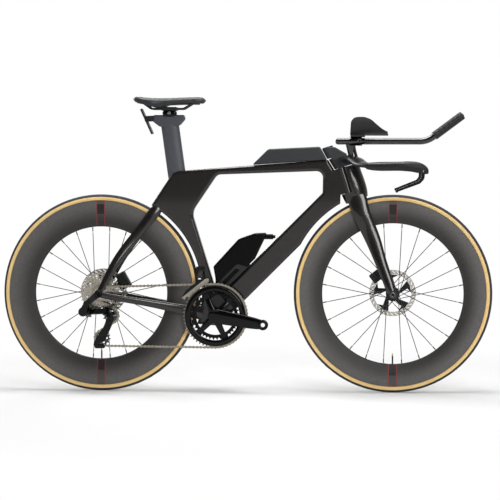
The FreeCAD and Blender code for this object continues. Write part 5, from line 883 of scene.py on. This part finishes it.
def strap_grid(line, halves, rings=60, points=40):
    """Rings along a smooth line through points of the X-Z plane: each ring is a rounded bar across the line,
    as wide as the strap there and as deep as the sheet."""
    knots = np.arange(len(line), dtype=float)
    share = np.linspace(0, knots[-1], rings)
    middle = smooth_curve(share, knots, line)
    half = smooth_curve(share, knots, halves)[:, None]
    way = np.gradient(middle, axis=0)
    way /= np.linalg.norm(way, axis=1, keepdims=True)
    turn = full_turn(points)
    across = half * rounded(np.cos(turn), 0.5)
    x = middle[:, :1] - way[:, 1:] * across
    z = middle[:, 1:] + way[:, :1] * across
    y = np.broadcast_to(PLATE_SIDE + SHEET_HALF * rounded(np.sin(turn), 0.5), x.shape)
    return np.stack([x, y, z], axis=-1)


for name, line, halves in (("cage_plate", PLATE_LINE, PLATE_HALF), ("cage_foot", FOOT_LINE, FOOT_HALF)):
    tube_mesh(name, strap_grid(line, halves), "pulley_cage", crank_black)
print("pulley cage plate made")

# %% [markdown]
# ## Rounded backs of the nose box and the stem
# The nose box and the stem turn with the bars, close in front of the frame. Their backs follow circles about
# the steering axis, so that the narrow gap stays the same at every angle. In coordinates along and away from
# that axis the back is a simple arc, which is drawn there and then tilted into place.

# %% Rounded backs of the nose box and the stem
STEERING_FOOT = np.array([0.350491, 0.0, 0.686206])
STEERING_AXIS = np.array([-0.292372, 0.0, 0.956305])
STEERING_BACK = np.array([-0.956305, 0.0, -0.292372])
ACROSS = np.array([0.0, 1.0, 0.0])
BACK_CORE, BACK_WIDE = 0.006, 0.017
BACKS = {
    "stem_back": (bar_grey, (0.0892, 0.1280), (0.0228, 0.0326)),
    "nose_back": (box_grey, (0.1302, 0.1706), (0.0368, 0.0443)),
}


def back_grid(heights, radii, rings=24, points=72):
    """Rings up the steering axis: across a ring the side swings out and in, and the distance back lies on the
    circle of that height's radius, or on a plain core line inside the stem. The first and last rings draw in
    a little, which rounds the edges."""
    height = np.linspace(heights[0], heights[1], rings)[:, None]
    radius = np.linspace(radii[0], radii[1], rings)[:, None]
    turn = full_turn(points)
    edge = np.sin(np.linspace(0, np.pi, rings))[:, None] ** 0.12
    side = BACK_WIDE * rounded(np.sin(turn), 0.6)
    reach = (np.sqrt(radius ** 2 - side ** 2) - BACK_CORE) * (0.93 + 0.07 * edge)
    back = BACK_CORE + reach * np.clip(rounded(np.cos(turn), 0.35), 0, 1)
    y = np.broadcast_to(side, back.shape)[..., None] * ACROSS
    return STEERING_FOOT + height[..., None] * STEERING_AXIS + back[..., None] * STEERING_BACK + y


for name, (material, heights, radii) in BACKS.items():
    tube_mesh(name, back_grid(heights, radii), "steering", material)
print("backs of nose box and stem made")

# %% [markdown]
# ## Cheeks of the saddle clamp
# Two rounded cheeks of black alloy squeeze the saddle's rails. Seen from the side a cheek is a soft lozenge;
# it is drawn as rings that shrink towards its crowned outer face.

# %% Cheeks of the saddle clamp
CHEEK_X, CHEEK_Z, CHEEK_SIDE = -0.264, 0.9575, 0.0134
CHEEK_LONG, CHEEK_HIGH = 0.0235, 0.0118
CHEEK_RIM, CHEEK_CROWN = 0.0022, 0.0040
CHEEK_FACE, CHEEK_SHRINK = 0.72, 0.28


def cheek_grid(hand, points=64):
    """Rings from the flat inner face to the crowned outer face: each ring is a rounded lozenge, the cosine
    and sine of the turn to a power, shrunk by a quarter circle as it nears the outer face."""
    angle = full_turn(points)
    step = np.linspace(0, np.pi / 2 * 0.92, 12)
    scale = np.concatenate([[1.0], CHEEK_FACE + CHEEK_SHRINK * np.cos(step)])
    depth = np.concatenate([[0.0], CHEEK_RIM + CHEEK_CROWN * np.sin(step)])
    x = CHEEK_X + CHEEK_LONG * scale[:, None] * rounded(np.cos(angle), 0.8)
    z = CHEEK_Z + CHEEK_HIGH * scale[:, None] * rounded(np.sin(angle), 0.8)
    y = np.broadcast_to(hand * (CHEEK_SIDE + depth[:, None]), x.shape)
    grid = np.stack([x, y, z], axis=-1)
    return grid if hand < 0 else grid[:, ::-1]


for name, hand in (("right_clamp_cheek", -1), ("left_clamp_cheek", 1)):
    tube_mesh(name, cheek_grid(hand), "tilt_clamp", crank_black)
print("clamp cheeks made")

# %% [markdown]
# ## Floor
# A large pale sheet takes the soft shadow. For the camera and for reflections it also glows: a little near
# the bike, and fully white further off, so that it has no visible edge. Other rays don't see that glow, so it
# adds no light to the bike.

# %% Floor
FLOOR_HALF = 30
FLOOR_DARK, FLOOR_LIGHT = (0.62, 0.62, 0.62), (0.65, 0.65, 0.65)
FLOOR_GLOW = 0.03
FADE_NEAR, FADE_FAR = 0.7, 1.7
corner = FLOOR_HALF
mesh = bpy.data.meshes.new("studio_floor")
mesh.from_pydata([(-corner, -corner, 0), (corner, -corner, 0), (corner, corner, 0), (-corner, corner, 0)],
                 [], [(0, 1, 2, 3)])
floor = bpy.data.objects.new("studio_floor", mesh)
bpy.context.scene.collection.objects.link(floor)
print("floor laid")

# %% Floor's white
white_floor = Finish("floor_white", Specular_IOR_Level=0.0, Roughness=1.0)
white_floor.to("Base Color", white_floor.blend(white_floor.noise(0.4, 2), FLOOR_DARK, FLOOR_LIGHT))
floor_tree = white_floor.tree
path = floor_tree.nodes.new("ShaderNodeLightPath").outputs
mirrored = white_floor.math("MAXIMUM", path["Is Glossy Ray"], path["Is Transmission Ray"])
seen = white_floor.math("MAXIMUM", path["Is Camera Ray"], mirrored)
oval = white_floor.vector("MULTIPLY", white_floor.place, (0.8, 1, 1))
away = white_floor.vector("LENGTH", oval, (0, 0, 0))
fade = white_floor.math("MULTIPLY", seen, white_floor.step(away, FADE_NEAR, FADE_FAR))
glow = floor_tree.nodes.new("ShaderNodeEmission")
floor_tree.links.new(white_floor.math("MULTIPLY", seen, FLOOR_GLOW), glow.inputs["Strength"])
white = floor_tree.nodes.new("ShaderNodeEmission")
ground = floor_tree.nodes.new("ShaderNodeAddShader")
floor_tree.links.new(white_floor.shader.outputs[0], ground.inputs[0])
floor_tree.links.new(glow.outputs[0], ground.inputs[1])
surface = floor_tree.nodes.new("ShaderNodeMixShader")
floor_tree.links.new(fade, surface.inputs[0])
floor_tree.links.new(ground.outputs[0], surface.inputs[1])
floor_tree.links.new(white.outputs[0], surface.inputs[2])
floor_tree.links.new(surface.outputs[0], floor_tree.nodes["Material Output"].inputs["Surface"])
mesh.materials.append(white_floor.material)
print("floor is white from", FADE_FAR, "m on")
